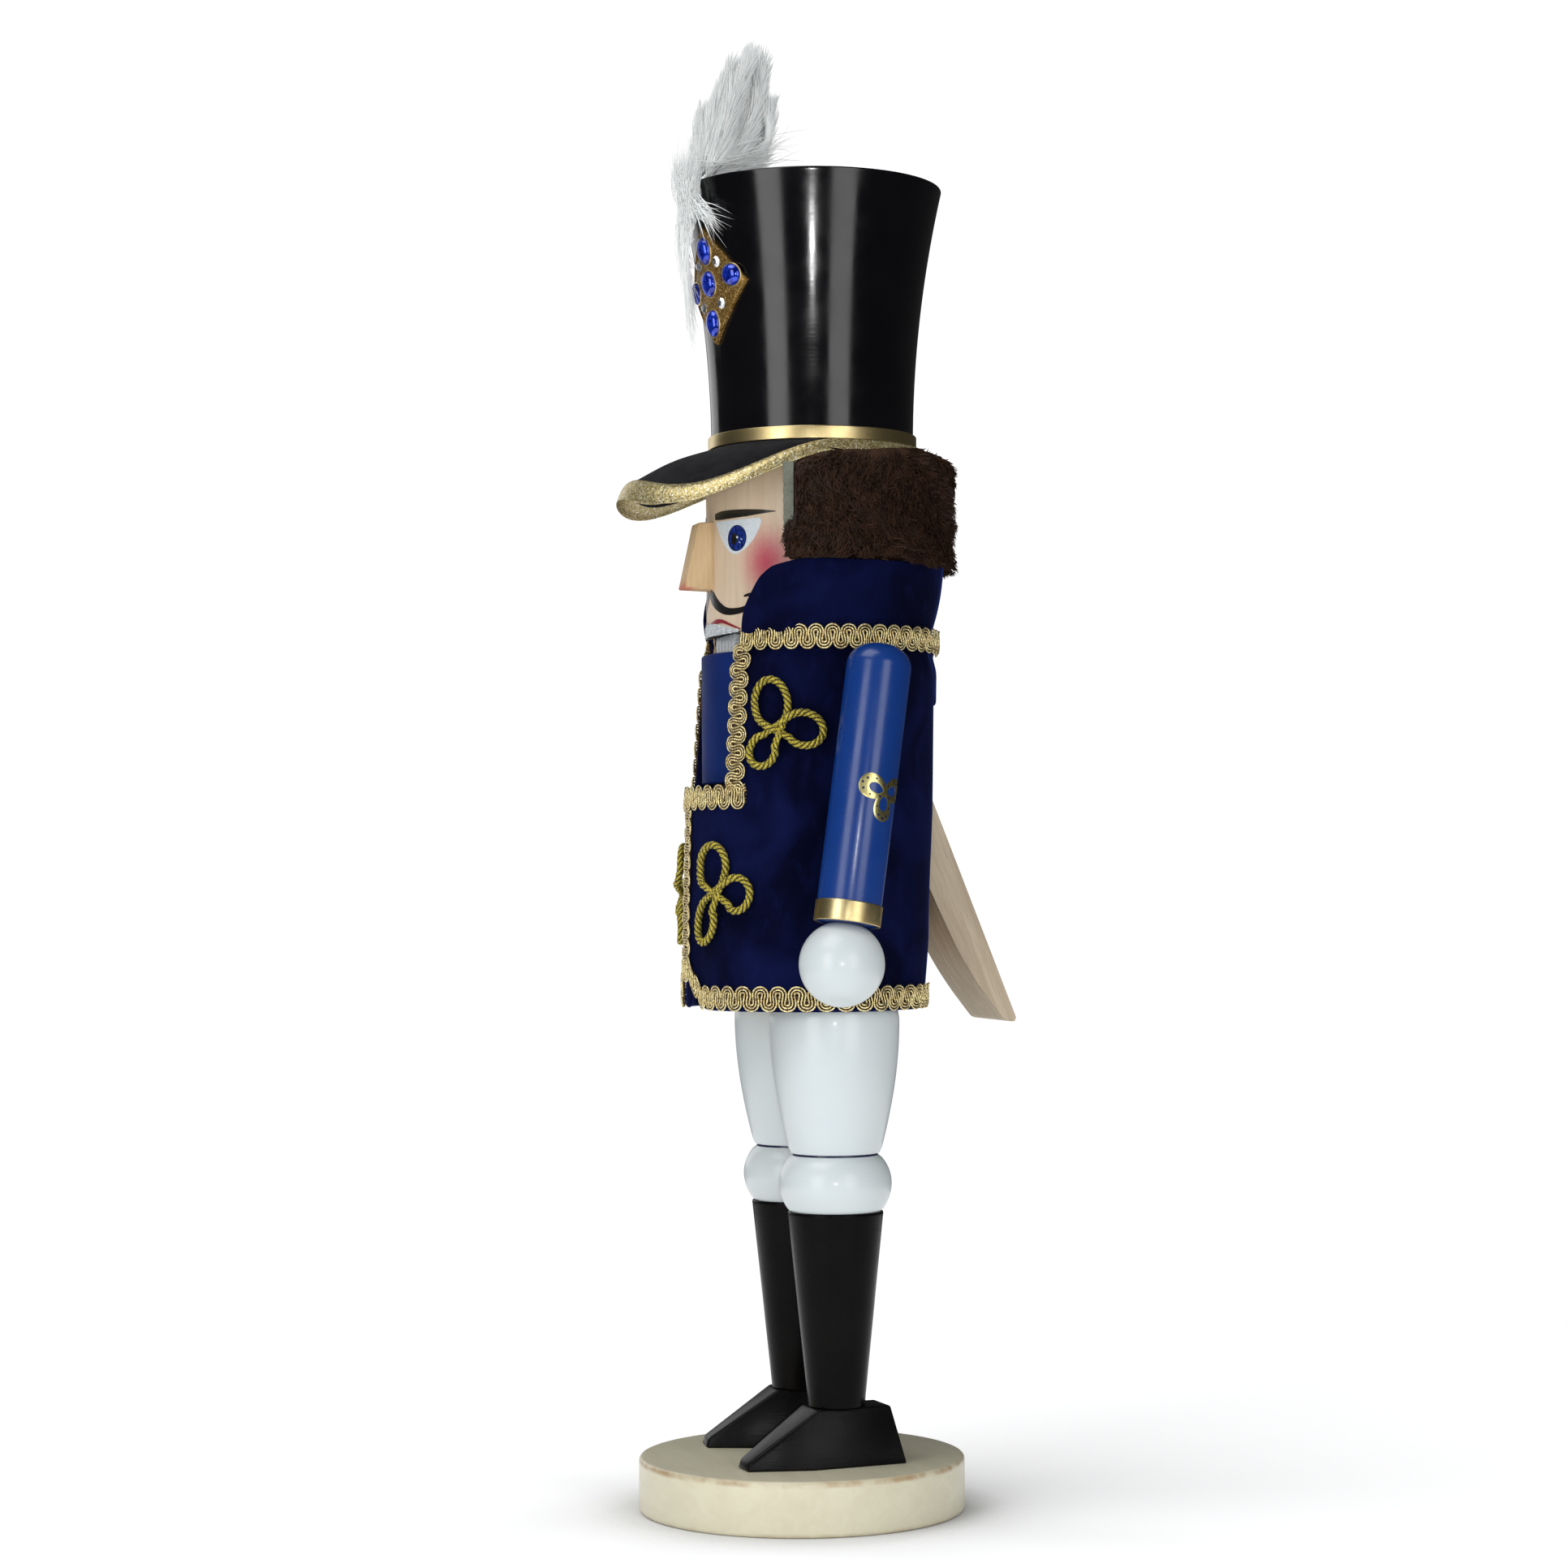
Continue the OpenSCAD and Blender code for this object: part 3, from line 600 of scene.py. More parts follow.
def base_disc(m):
    low, high = span("base_disc")
    r = float(high[0])
    corners = [(r, low[2], 1.6), (r, high[2], 1.7)]
    turned("base", "base_disc", corners, m["ivory"], "ivory_wood")


def bulge(low, high, end_low, end_high, widest, fullness):
    """Corners of a rounded turning between two heights."""
    rows = 22
    corners = []
    for i in range(rows + 1):
        t = i / rows
        end = end_low + (end_high - end_low) * t
        corners.append((end + (widest - end) * math.sin(math.pi * t) ** fullness,
                        low + (high - low) * t, 0))
    return corners


def thigh_corners(low, high):
    start, widest, wide_at, rows = 14.7, 21.2, 0.82, 24
    corners = [(start - 0.9, low, 0), (start - 0.25, low + 0.25, 0)]
    for i in range(1, rows + 1):
        t = i / rows
        if t < wide_at:
            r = start + (widest - start) * math.sin(math.radians(90 * t / wide_at)) ** 0.9
        else:
            r = widest - 4 * ((t - wide_at) / (1 - wide_at)) ** 2
        corners.append((r, low + (high - low) * t, 0))
    return corners


def legs(m):
    half_groove = 0.3
    for side in SIDES:
        low, high = span(f"{side}_boot")
        top = high[2]
        turned(f"{side}_boot_turning", f"{side}_boot",
               [(9.2, low[2], 0.4), (15.5, top - 1.6, 0), (15.7, top, 0.9)], m["black"],
               "black_paint")
        low, high = span(f"{side}_knee")
        turned(f"{side}_knee_turning", f"{side}_knee",
               bulge(low[2] + 0.1, high[2] - half_groove, 14.9, 14.2, 18.4, 0.72), m["white"],
               "white_paint")
        cx, cy = centre_of(f"{side}_knee")
        # A navy ring set into the gap between knee and thigh, darkening it: painted shade of the groove.
        ring = fillet([(0, high[2] - 1.6, 0), (13.9, high[2] - 1.6, 0.1),
                       (13.9, high[2] + 1.2, 0.1), (0, high[2] + 1.2, 0)])
        make(f"{side}_groove", lathe(ring, (cx, cy), 64), m["navy_enamel"], slot="black_paint")
        low, high = span(f"{side}_thigh")
        turned(f"{side}_thigh_turning", f"{side}_thigh",
               thigh_corners(low[2] + half_groove, high[2] - 0.1), m["white"], "white_paint")


def shoes(m):
    """Wedge shoes with softened edges, at the CAD shoe's place and splay."""
    low, high = span("left_shoe")
    base_top, shoe_h = float(low[2]), float(high[2] - low[2])
    leg_x = centre_of("left_boot")[0]
    splay = math.radians(5)
    heel, toe, wide_at, toe_h = 21.3, -32.8, -12, 3.2
    outline = [(-8.9, heel, 0), (-10.4, wide_at, 0), (-4.9, toe, 0), (4.9, toe, 0),
               (10.4, wide_at, 0), (8.9, heel, 0), (-4.3, toe + 0.9, toe_h), (4.3, toe + 0.9, toe_h),
               (-6.9, heel - 5, shoe_h), (-7.3, -9, shoe_h), (7.3, -9, shoe_h), (6.9, heel - 5, shoe_h)]
    for side, sign in SIDES.items():
        turn = splay * sign
        points = [(sign * leg_x + x * math.cos(turn) - y * math.sin(turn),
                   AXIS_Y + x * math.sin(turn) + y * math.cos(turn), base_top + z)
                  for x, y, z in outline]
        make(f"{side}_shoe_wedge", hull_solid(points), m["shoe"], instead_of=[f"{side}_shoe"],
             slot="black_paint", bevel=0.8, sharp=60)


# ---------------------------------------------------------------- jaw and head

def lever(m):
    """The lever board: sawn outline, rounded tail, eased edges."""
    low, high = span("lever_board")
    front = float(low[1])
    outline = fillet([
        (front, 239.5, 0), (front, 283.6, 0), (10, 283.6, 1), (26.1, 272, 14), (42.9, 230.5, 20),
        (70.2, 162.2, 1.6), (69.6, 160.9, 1.6), (66.4, 161.1, 2.5), (57.6, 172.3, 9),
        (50.5, 183.5, 9), (41.1, 203.1, 12), (31, 226, 10), (24, 233, 4), (12, 238, 4),
        (front + 0.01, 239.5, 0)], 7)
    apart = [True] + [np.ptp(pair, 0).max() > 0.02 for pair in zip(outline[1:], outline[:-1])]
    outline = outline[np.array(apart)]
    shape = outline_solid(outline, float(low[0]) + 0.1, float(high[0]) - 0.1, axes=(1, 2, 0))
    make("lever", shape, m["lever"], "jaw_lever", ["lever_board"], "lever_wood", bevel=0.7, sharp=50)


def jaw(m):
    """Painted front of the jaw, curved like the body, with the lower teeth along its top."""
    low, high = span("jaw_panel")
    r = AXIS_Y - float(low[1])
    half = math.degrees(math.asin(float(high[0]) / r))
    arc = around(np.linspace(-half, half, 49), r, 0)[:, :2]
    outline = np.concatenate([arc, [[high[0], high[1]], [low[0], high[1]]]])
    shape = outline_solid(outline, float(low[2]), float(high[2]) - 1.0)
    make("jaw_front", shape, m["jaw"], "jaw_lever", ["jaw_panel"], "blue_paint", bevel=0.9, sharp=50)
    low, high = span("lower_teeth")
    count, gap = 6, 0.25
    wide = (high[0] - low[0]) / count
    teeth = Shape()
    for i in range(count):
        x0, x1 = low[0] + wide * i + gap / 2, low[0] + wide * (i + 1) - gap / 2
        crown = fillet([(x0, low[2] - 1.1, 0), (x0 + 0.05, high[2], 0.9), (x1 - 0.05, high[2], 0.9),
                        (x1, low[2] - 1.1, 0)], 5)
        tooth = outline_solid(crown, low[1] + 0.3, high[1] - 0.1, axes=(0, 2, 1))
        teeth.add(tooth.points[0], tooth.faces)
    make("lower_teeth_row", teeth, m["teeth"], "jaw_lever", ["lower_teeth"], "teeth_paint",
         bevel=0.2, sharp=50)


def box_cutter(name, low, high):
    corners = [(low[0], low[1]), (high[0], low[1]), (high[0], high[1]), (low[0], high[1])]
    shape = outline_solid(np.array(corners, float), low[2], high[2])
    mesh = bpy.data.meshes.new(name)
    mesh.from_pydata((shape.points[0] * MM).tolist(), [], shape.faces)
    return put(name, mesh)


def head(m):
    low, high = span("head")
    mouth_z, palate_z, jaw_half, slot_half = 289.4, 297, 20.2, 17.8
    line = fillet([(0, low[2], 0), (HEAD_R, low[2], 0.3), (HEAD_R, high[2] - 3, 0.6),
                   (33.6, high[2], 0.4), (0, high[2], 0)])
    cutters = [box_cutter("cut_mouth", (-jaw_half, -60, low[2] - 1), (jaw_half, -20, mouth_z)),
               box_cutter("cut_slot", (-slot_half, -21, low[2] - 1), (slot_half, 18, mouth_z)),
               box_cutter("cut_palate", (-slot_half, -20, mouth_z - 1), (slot_half, 14, palate_z))]
    make("head_turning", lathe(line, (0, AXIS_Y), 160), m["face"], instead_of=["head"],
         slot="face_wood", cut=cutters)
    for cutter in cutters:
        bpy.data.objects.remove(cutter)


def nose(m):
    low, high = span("nose")
    tip, bridge = AXIS_Y - HEAD_R - 10.2, AXIS_Y - HEAD_R - 5.2
    back = AXIS_Y - HEAD_R + 1.2
    outline = np.array([(back, low[2] - 0.5), (tip + 0.5, low[2] - 0.1), (bridge + 0.3, high[2] - 0.9),
                        (back, high[2] - 0.3)])
    shape = outline_solid(outline, float(low[0]), float(high[0]), axes=(1, 2, 0))
    make("nose_wedge", shape, m["nose"], instead_of=["nose"], slot="lever_wood", bevel=0.55,
         sharp=50)


# ---------------------------------------------------------------- painted face
# A place on the face is u millimetres round from the middle of the front, and its height.

def on_face(u, z, lift):
    return around(np.degrees(np.asarray(u) / HEAD_R), HEAD_R + lift, z)


def both(shape):
    """A shape and its mirror image as one."""
    other = shape.mirrored()
    return shape.add(np.concatenate(other.points), other.faces)


def closed_grid(top, bottom, wrap=False):
    """A thin solid between two grids of points of one size."""
    rows, cols = top.shape[:2]
    points = np.concatenate([top.reshape(-1, 3), bottom.reshape(-1, 3)])
    n = rows * cols
    faces = quads(rows, cols, wrap).tolist()
    faces += (quads(rows, cols, wrap)[:, ::-1] + n).tolist()
    rims = [[r * cols + c for c in range(cols)] for r in (0, rows - 1)]
    if not wrap:
        rims += [[r * cols + c for r in range(rows)] for c in (0, cols - 1)]
    for rim in rims:
        ends = list(zip(rim, rim[1:] + ([rim[0]] if wrap and len(rim) == cols else [])))
        faces += [[a, b, b + n, a + n] for a, b in ends]
    return points, faces


def raised(u, z, height, wrap=False):
    """A film of paint on the face, height millimetres proud and rooted just inside it."""
    top = on_face(u, z, np.broadcast_to(height, np.broadcast(u, z).shape))
    return closed_grid(top, on_face(u, z, -0.2), wrap)


def dab(name, shape, finish):
    """Paint on both sides of the face."""
    make(name, both(shape), finish, slot="face_wood")


def stroke(line, widths, lift=0.16):
    """A brush stroke on the face: u, z points and its width at each."""
    count = 40
    path = curve_through(np.column_stack([line, np.zeros(len(line))]), count)[:, :2]
    width = np.interp(np.linspace(0, 1, count), np.linspace(0, 1, len(widths)), widths)
    along = unit(np.gradient(path, axis=0))
    across = np.stack([-along[:, 1], along[:, 0]], -1)
    s = np.linspace(-0.5, 0.5, 7)
    flat = path[:, None] + across[:, None] * (s[None, :, None] * width[:, None, None])
    return Shape().add(*raised(flat[..., 0], flat[..., 1], lift * (1 - 1.2 * s**2)))


def spot(u, z, half_u, half_z, lift=0.16):
    """An oval dab of paint."""
    t = np.linspace(0, 2 * np.pi, 40, endpoint=False)
    r = np.linspace(0.02, 1, 7)[:, None]
    height = lift * (1 - 0.25 * r**4)
    return Shape().add(*raised(u + half_u * r * np.cos(t), z + half_z * r * np.sin(t), height, wrap=True))


def eye_white(corners, lift=0.12):
    """A rounded triangle of white paint, as rings between its middle and its outline."""
    edge = fillet([(*corners[0], 0)] + [(*c, 2.0) for c in corners[1:]] + [(*corners[0], 0)], 8)
    edge = curve_between(edge, 72)
    middle = edge.mean(0)
    r = np.linspace(0.02, 1, 12)[:, None, None]
    flat = middle + (edge - middle)[None] * r
    height = lift * (1 - 0.3 * np.linspace(0, 1, 12)[:, None] ** 6)
    return Shape().add(*raised(flat[..., 0], flat[..., 1], height, wrap=True))


def curve_between(line, count):
    """count points spaced evenly along a closed line of straight pieces."""
    along = np.concatenate([[0], np.cumsum(np.linalg.norm(np.diff(line, axis=0), axis=1))])
    at = np.linspace(0, along[-1], count, endpoint=False)
    return np.stack([np.interp(at, along, line[:, k]) for k in range(line.shape[1])], -1)


def painted_face(m):
    iris_u, iris_z, iris_r = 18.3, 319.5, 4.0
    brow = stroke([(5.9, 327.4), (10, 327.5), (15.5, 327.5), (22.5, 327.4), (28.5, 327.4),
                   (33.4, 327.3)], [2.0, 2.8, 2.8, 2.3, 1.3, 0.2])
    dab("brows", brow, m["black_enamel"])
    white = eye_white([(6.4, 325.7), (18.4, 325.5), (28.9, 325.6), (27.3, 321.4), (24.6, 317.8),
                       (21.6, 315.5), (18.3, 314.3), (16.0, 314.6), (12.8, 316.8), (9.4, 320.8)])
    dab("eye_whites", white, m["white_enamel"])
    dab("iris_rims", spot(iris_u, iris_z, iris_r + 0.3, iris_r + 0.25, 0.17), m["navy_enamel"])
    dab("irises", spot(iris_u, iris_z, iris_r - 0.1, iris_r, 0.22), m["iris"])
    dab("pupils", spot(iris_u - 0.9, iris_z - 0.2, 1.6, 2.0, 0.27), m["black_enamel"])
    glint = spot(iris_u + 0.35, iris_z + 0.25, 0.42, 0.42, 0.33)
    for du, dz in ((2.3, -0.5), (1.5, -1.5)):
        ray = stroke([(iris_u + du * 0.8, iris_z + dz * 0.8), (iris_u + du, iris_z + dz),
                      (iris_u + du * 1.2, iris_z + dz * 1.2)], [0.15, 0.35, 0.12], 0.3)
        glint.add(ray.points[0], ray.faces)
    dab("eye_glints", glint, m["white_enamel"])
    whisker = stroke([(0.8, 303.0), (3.4, 301.2), (6.8, 298.7), (12.2, 296.3), (17.3, 295.8), (21.6, 296.4),
                      (24.4, 298.3), (24.0, 300.7), (21.4, 300.5)],
                     [2.4, 4.0, 3.5, 2.5, 2.1, 1.8, 1.4, 1.3, 0.6], 0.2)
    dab("moustache", whisker, m["black_enamel"])
    lip = stroke([(0, 292.2), (3.2, 292.7), (6.9, 293.1), (10.5, 292.9), (14, 291.9), (20.5, 289.6)],
                 [1.0, 1.2, 1.5, 1.2, 0.8, 0.5], 0.24)
    dab("upper_lip", lip, m["red_enamel"])
    teeth = Shape()
    count, half = 12, 19.0
    wide = 2 * half / count
    for i in range(count):
        u = -half + wide * (i + 0.5)
        top_z = 292.8 - 3.0 * (abs(u) / half) ** 1.5
        s = np.linspace(-0.5, 0.5, 5) * (wide - 0.3)
        heights = np.linspace(288.5 + 0.5 * (abs(u) / half) ** 2, top_z, 6)
        across, up = np.meshgrid(u + s, heights)
        teeth.add(*raised(across, up, 0.55 * (1 - (np.abs(s) / wide * 2) ** 4)))
    make("upper_teeth_row", teeth, m["teeth"], instead_of=["upper_teeth"], slot="teeth_paint")


# ---------------------------------------------------------------- hair

COLLAR_TOP = float(span("collar")[1][2]) - 2.9
FUR_FROM, FUR_R, FUR_LOW = 62.0, 44.2, COLLAR_TOP + 0.4


def fur_top(a):
    """Height of the fur's upper edge: level with the brim's edge, and 2 mm over it behind."""
    return edge_z(a) + 0.2 + 2.0 * ease((90 - np.abs(np.asarray(a) - 180)) / 40)


def fur_backing(m):
    """The rounded band under the hairs, open in front."""
    skin, bare, fur_r, z0 = HEAD_R + 0.3, FUR_FROM, FUR_R, FUR_LOW
    z1 = float(span("hair")[1][2]) + 0.6
    columns = np.linspace(bare, 360 - bare, 121)
    section = fillet([(skin, z0, 0), (fur_r, z0 + 1.5, 4), (fur_r, z1 - 1, 4), (skin, z1, 0)], 10)
    grid = np.stack([around(columns, r, np.where(z > z0 + 6, z + fur_top(columns) - z1, z))
                     for r, z in section])
    backing = Shape().add(grid, quads(len(section), len(columns)))
    ends = [[i * len(columns) + c for i in range(len(section))] for c in (0, len(columns) - 1)]
    backing.faces += ends
    backing.faces += [[c + 1, c, c + (len(section) - 1) * len(columns),
                       c + 1 + (len(section) - 1) * len(columns)] for c in range(len(columns) - 1)]
    make("fur_backing", backing, m["fur"], slot="brown_fur", instead_of=["hair"], sharp=60)


def fur_hairs(m):
    """Short hairs that stand in tufts and droop at the hem."""
    rng = np.random.default_rng(11)
    bare, fur_r, z0 = FUR_FROM, FUR_R, FUR_LOW
    tufts, each = 2000, 11
    tuft_a = rng.uniform(bare - 1, 361 - bare, tufts)
    tuft_z = rng.uniform(0, 1, tufts) * (fur_top(tuft_a) - z0 - 1.5) + z0 + 1.0
    # Neighbouring tufts lie the same way, like a combed pelt.
    lean_a = (2.6 * np.sin(tuft_a * 0.09 + tuft_z * 0.21) + 1.4 * np.sin(tuft_a * 0.23 - tuft_z * 0.35)
              + rng.normal(0, 0.9, tufts))
    lean_z = (-3.0 + 1.5 * np.sin(tuft_a * 0.13 + 0.7) * np.cos(tuft_z * 0.3)
              + rng.normal(0, 0.8, tufts))
    length = rng.uniform(2.6, 4.4, tufts) + 0.8 * np.sin(tuft_a * 0.17 + tuft_z * 0.4)
    which = np.repeat(np.arange(tufts), each)
    n = len(which)
    a = np.clip(tuft_a[which] + rng.normal(0, 1.9, n), bare + 0.6, 359.4 - bare)
    top = fur_top(a)
    z = np.clip(tuft_z[which] + rng.normal(0, 1.3, n), z0, top - 0.6)
    strip = 4.2 * ease((z - z0 - 10.5) / 4)
    a = np.clip(a, bare + 0.6 + strip, 359.4 - bare - strip)
    tip_a = tuft_a[which] + lean_a[which] + rng.normal(0, 1.0, n)
    loose = 4.0 * ease((z0 + 11 - z) / 6)
    tip_a = np.clip(tip_a, bare + 1 - loose + strip, 359 - bare + loose - strip)
    tip_z = tuft_z[which] + lean_z[which] + rng.normal(0, 0.8, n)
    behind = ease((np.abs(a) - 90) / 40) * ease((270 - a) / 40)
    tip_z = np.maximum(np.minimum(tip_z, top + 0.9), z0 - 0.3 - 2.4 * behind)
    edge = np.minimum(ease((top - z) / 3.0), ease((z - z0 + 3) / 4))
    root_r = fur_r - 1.0 - 2.5 * (1 - edge)
    reach = length[which] * rng.uniform(0.75, 1.1, n) * (0.72 + 0.28 * edge)
    steps = 5
    t = np.linspace(0, 1, steps)[None, :]
    path = around(a[:, None] + (tip_a - a)[:, None] * t**1.3,
                  root_r[:, None] + reach[:, None] * (1 - (1 - t) ** 1.6),
                  z[:, None] + (tip_z - z)[:, None] * t**1.3)
    outward = unit(np.broadcast_to(off_axis(path[:, :1]), path.shape))
    sideways = np.cross(outward, [0, 0, 1])
    radii = np.array([0.30, 0.28, 0.23, 0.15, 0.0])
    for part, chosen in (("left", a < 130), ("back", (a >= 130) & (a < 230)), ("right", a >= 230)):
        make(f"fur_{part}", strands(path[chosen], radii, sideways[chosen]), m["fur"],
             slot="brown_fur", fix=False, sharp=80)


def fur_edges(m):
    """The cut edges of the fur's backing, beside each cheek."""
    bare, z0 = FUR_FROM, FUR_LOW
    for side, sign in SIDES.items():
        s = np.linspace(0, 1, 12)[:, None]
        up = np.linspace(z0 + 9.5, float(fur_top(bare)) + 0.6, 24)[None, :]
        rough = 0.35 * np.sin(up * 2.1) * s + 0.2 * np.sin(up * 5.3 + s * 9)
        inner = around(sign * (bare - 0.7 + 0.5 * s), HEAD_R + 0.15 + 9.5 * s + rough, up)
        outer = around(sign * (bare + 4.0), HEAD_R + 0.15 + 9.6 * s, up)
        make(f"fur_edge_{side}", Shape().add(*closed_grid(inner, outer)), m["backing"],
             slot="brown_fur")


# ---------------------------------------------------------------- hat

HAT_TOP = float(span("hat_crown")[1][2])
HAT_R, HAT_FLARE = 33.5, 9.9


def crown_r(z):
    """Radius of the hat, which flares towards its top."""
    return HAT_R + HAT_FLARE * np.maximum(0, (z - HEAD_TOP - 2) / (HAT_TOP - HEAD_TOP - 2)) ** 2


def edge_r(a):
    """Radius of the visor's outer edge, which reaches out in front."""
    return 38.8 + 27.2 * np.maximum(np.cos(np.radians(a)), 0) ** 2


def edge_z(a):
    """Height of the visor's outer edge, which droops in front."""
    c = np.maximum(np.cos(np.radians(a)), 0)
    return HEAD_TOP - 2.2 - 25.4 * c**2 + 11.6 * c**12


def trim_size(a):
    """Width and height of the glitter trim."""
    c = np.maximum(np.cos(np.radians(a)), 0)
    return 2.6 + 1.4 * c, 2.8 + 2.6 * c


def hat(m):
    low, high = span("hat_crown")
    z = np.linspace(low[2] + 0.1, high[2] - 1.6, 40)
    wall = [(float(crown_r(h)), float(h), 0) for h in z]
    line = fillet([(0, low[2] + 0.1, 0)] + wall + [(float(crown_r(high[2])), high[2], 1.3),
                                                  (float(crown_r(high[2])) - 6, high[2], 2),
                                                  (float(crown_r(high[2])) - 8, high[2] - 0.5, 2),
                                                  (0, high[2] - 0.5, 0)])
    make("crown", lathe(line, steps=192), m["lacquer"], instead_of=["hat_crown"],
         slot="black_lacquer", sharp=50)
    low, high = span("hat_band")
    r = HAT_R + 1.1
    ring = fillet([(r - 0.9, low[2], 0), (r, low[2], 0.35), (r, high[2], 0.35), (r - 0.9, high[2], 0),
                   (r - 0.9, low[2], 0)])
    make("hat_band_foil", lathe(ring, steps=192), m["foil"], instead_of=["hat_band"],
         slot="gold_foil", sharp=50)


def visor_piece(m):
    """Felt brim that droops in front, and the glitter ribbon folded over its edge."""
    a = np.linspace(0, 360, 240, endpoint=False)
    wide, tall = trim_size(a)
    felt_t, top_z = 1.4, HEAD_TOP + 1.5
    rows = 16
    grid = []
    for t in np.linspace(0, 1, rows):
        r = HAT_R + 0.3 + (edge_r(a) - wide - HAT_R - 0.3) * t
        sag = 0.72 * np.sin(np.pi * t) ** 2 * np.maximum(np.cos(np.radians(a)), 0)
        z = top_z + (edge_z(a) + tall - top_z) * (t * 0.75 + 0.25 * t * t)
        grid.append(around(a, r, z + sag))
    top = np.stack(grid)
    brim = Shape().add(top, quads(rows, len(a), wrap=True))
    make("visor_felt", brim, m["felt"], instead_of=["visor"], slot="black_felt", shell=felt_t,
         sharp=60)
    section = [(-0.4, 0.25), (0.0, 0.75), (0.35, 0.85), (0.62, 0.68), (0.84, 0.36), (0.97, 0.0),
               (1.0, -0.34), (0.94, -0.6), (0.8, -0.8), (0.4, -1.3), (-0.5, -1.75), (-2.0, -1.9),
               (-2.0, -1.5), (-0.4, -0.9)]
    slope = 1.2 * (top_z - edge_z(a) - tall) / (edge_r(a) - wide - HAT_R - 0.3)
    ribbon = []
    for across, lift in section:
        r = edge_r(a) - wide * (1 - across)
        z = edge_z(a) + tall * (1 - np.clip(across, 0, 1) ** 1.6) + lift * 1.1
        z = z + max(0, -across) * wide * slope
        bead = 0.16 * np.sin(np.radians(a * 118)) * max(0, lift)
        ribbon.append(around(a, r + bead, z + bead))
    ribbon = np.stack(ribbon)
    n, cols = len(section), len(a)
    faces = quads(n + 1, cols, wrap=True) % (n * cols)
    make("visor_ribbon", Shape().add(ribbon, faces), m["trim"], instead_of=["visor_trim"],
         slot="gold_glitter", sharp=70, divide=1)


COCKADE_A, COCKADE_Z = 14.0, 402.5


def on_hat(x, z, lift):
    """Places on the hat's front, x round and z up from the cockade's middle."""
    height = COCKADE_Z + np.asarray(z, float)
    r = crown_r(height)
    return around(COCKADE_A + np.degrees(np.asarray(x) / r), r + lift, height)


def cockade(m):
    half_w, half_h, n = 17.4, 19.0, 25
    s, t = np.meshgrid(np.linspace(-1, 1, n), np.linspace(-1, 1, n))
    x, z = (s + t) / 2 * half_w, (t - s) / 2 * half_h
    rim = np.maximum(np.abs(s), np.abs(t))
    lift = 1.2 - 0.35 * ease((rim - 0.9) / 0.1)
    top, bottom = on_hat(x, z, lift), on_hat(x, z, 0.12)
    make("cockade_card", Shape().add(*closed_grid(top, bottom)), m["card"],
         instead_of=["cockade_plate"], slot="cockade_board", sharp=40)
    tips = [(0, half_h), (half_w, 0), (0, -half_h), (-half_w, 0)]
    rope = np.concatenate([np.linspace(p, q, 40)[:-1] for p, q in zip(tips, tips[1:] + tips[:1])])
    path = on_hat(rope[:, 0] * 0.965, rope[:, 1] * 0.965, 1.15)
    make("cockade_rim", Shape().add(*tube(path, 0.42, unit(off_axis(path)), closed=True)), m["card"],
         slot="cockade_board")
    stones, cups = Shape(), Shape()
    for x0, z0, wide, tall in ((0, 0.6, 3.5, 4.2), (0, 11.2, 3.2, 4.4), (0, -12.2, 3.2, 4.4),
                               (11.6, 2.0, 3.7, 3.5), (-11.6, -0.6, 3.7, 3.5)):
        t = np.linspace(0, 2 * np.pi, 40, endpoint=False)
        r = np.sin(np.linspace(0.02, np.pi / 2, 12))[:, None]
        dome = 1.35 + 2.3 * np.sqrt(np.maximum(0, 1 - r**2))
        top = on_hat(x0 + wide * r * np.cos(t), z0 + tall * r * np.sin(t), dome)
        bottom = on_hat(x0 + wide * r * np.cos(t), z0 + tall * r * np.sin(t), 0.9)
        stones.add(*closed_grid(top, bottom, wrap=True))
        ring = on_hat(x0 + (wide + 0.15) * np.cos(t), z0 + (tall + 0.15) * np.sin(t), 1.3)
        cups.add(*tube(ring, 0.3, unit(off_axis(ring)), closed=True))
    make("cabochon_stones", stones, m["blue_gem"], instead_of=["cabochons"], slot="blue_gem")
    make("stone_settings", cups, m["foil"], slot="gold_foil")
    cut, sides = Shape(), 8
    for x0 in (-5.6, 5.6):
        for z0 in (-6.4, 7.0):
            rings = [(0.02, 2.3), (1.0, 2.25), (1.85, 1.6), (1.9, 1.25), (1.6, 0.9)]
            t = np.linspace(0, 2 * np.pi, sides, endpoint=False)
            grid = [on_hat(x0 + r * np.cos(t + 0.39 * k), z0 + r * np.sin(t + 0.39 * k), h)
                    for k, (r, h) in enumerate(rings)]
            cut.add(np.stack(grid), quads(len(rings), sides, wrap=True))
            first, last = cut.count - len(rings) * sides, cut.count - sides
            cut.faces.append(list(range(last, last + sides)))
            cut.faces.append(list(range(first, first + sides))[::-1])
    make("rhinestone_cuts", cut, m["clear_gem"], instead_of=["rhinestones"], slot="clear_gem",
         sharp=8)


TURN = math.radians(COCKADE_A)
AHEAD = np.array([math.sin(TURN), -math.cos(TURN), 0])
ASIDE = np.array([math.cos(TURN), math.sin(TURN), 0])


def in_plume(forward, side, z):
    """forward is the distance from the axis towards the cockade, side is across that."""
    return (np.asarray(forward)[..., None] * AHEAD + np.asarray(side)[..., None] * ASIDE
            + np.asarray(z)[..., None] * [0, 0, 1] + [0, AXIS_Y, 0])


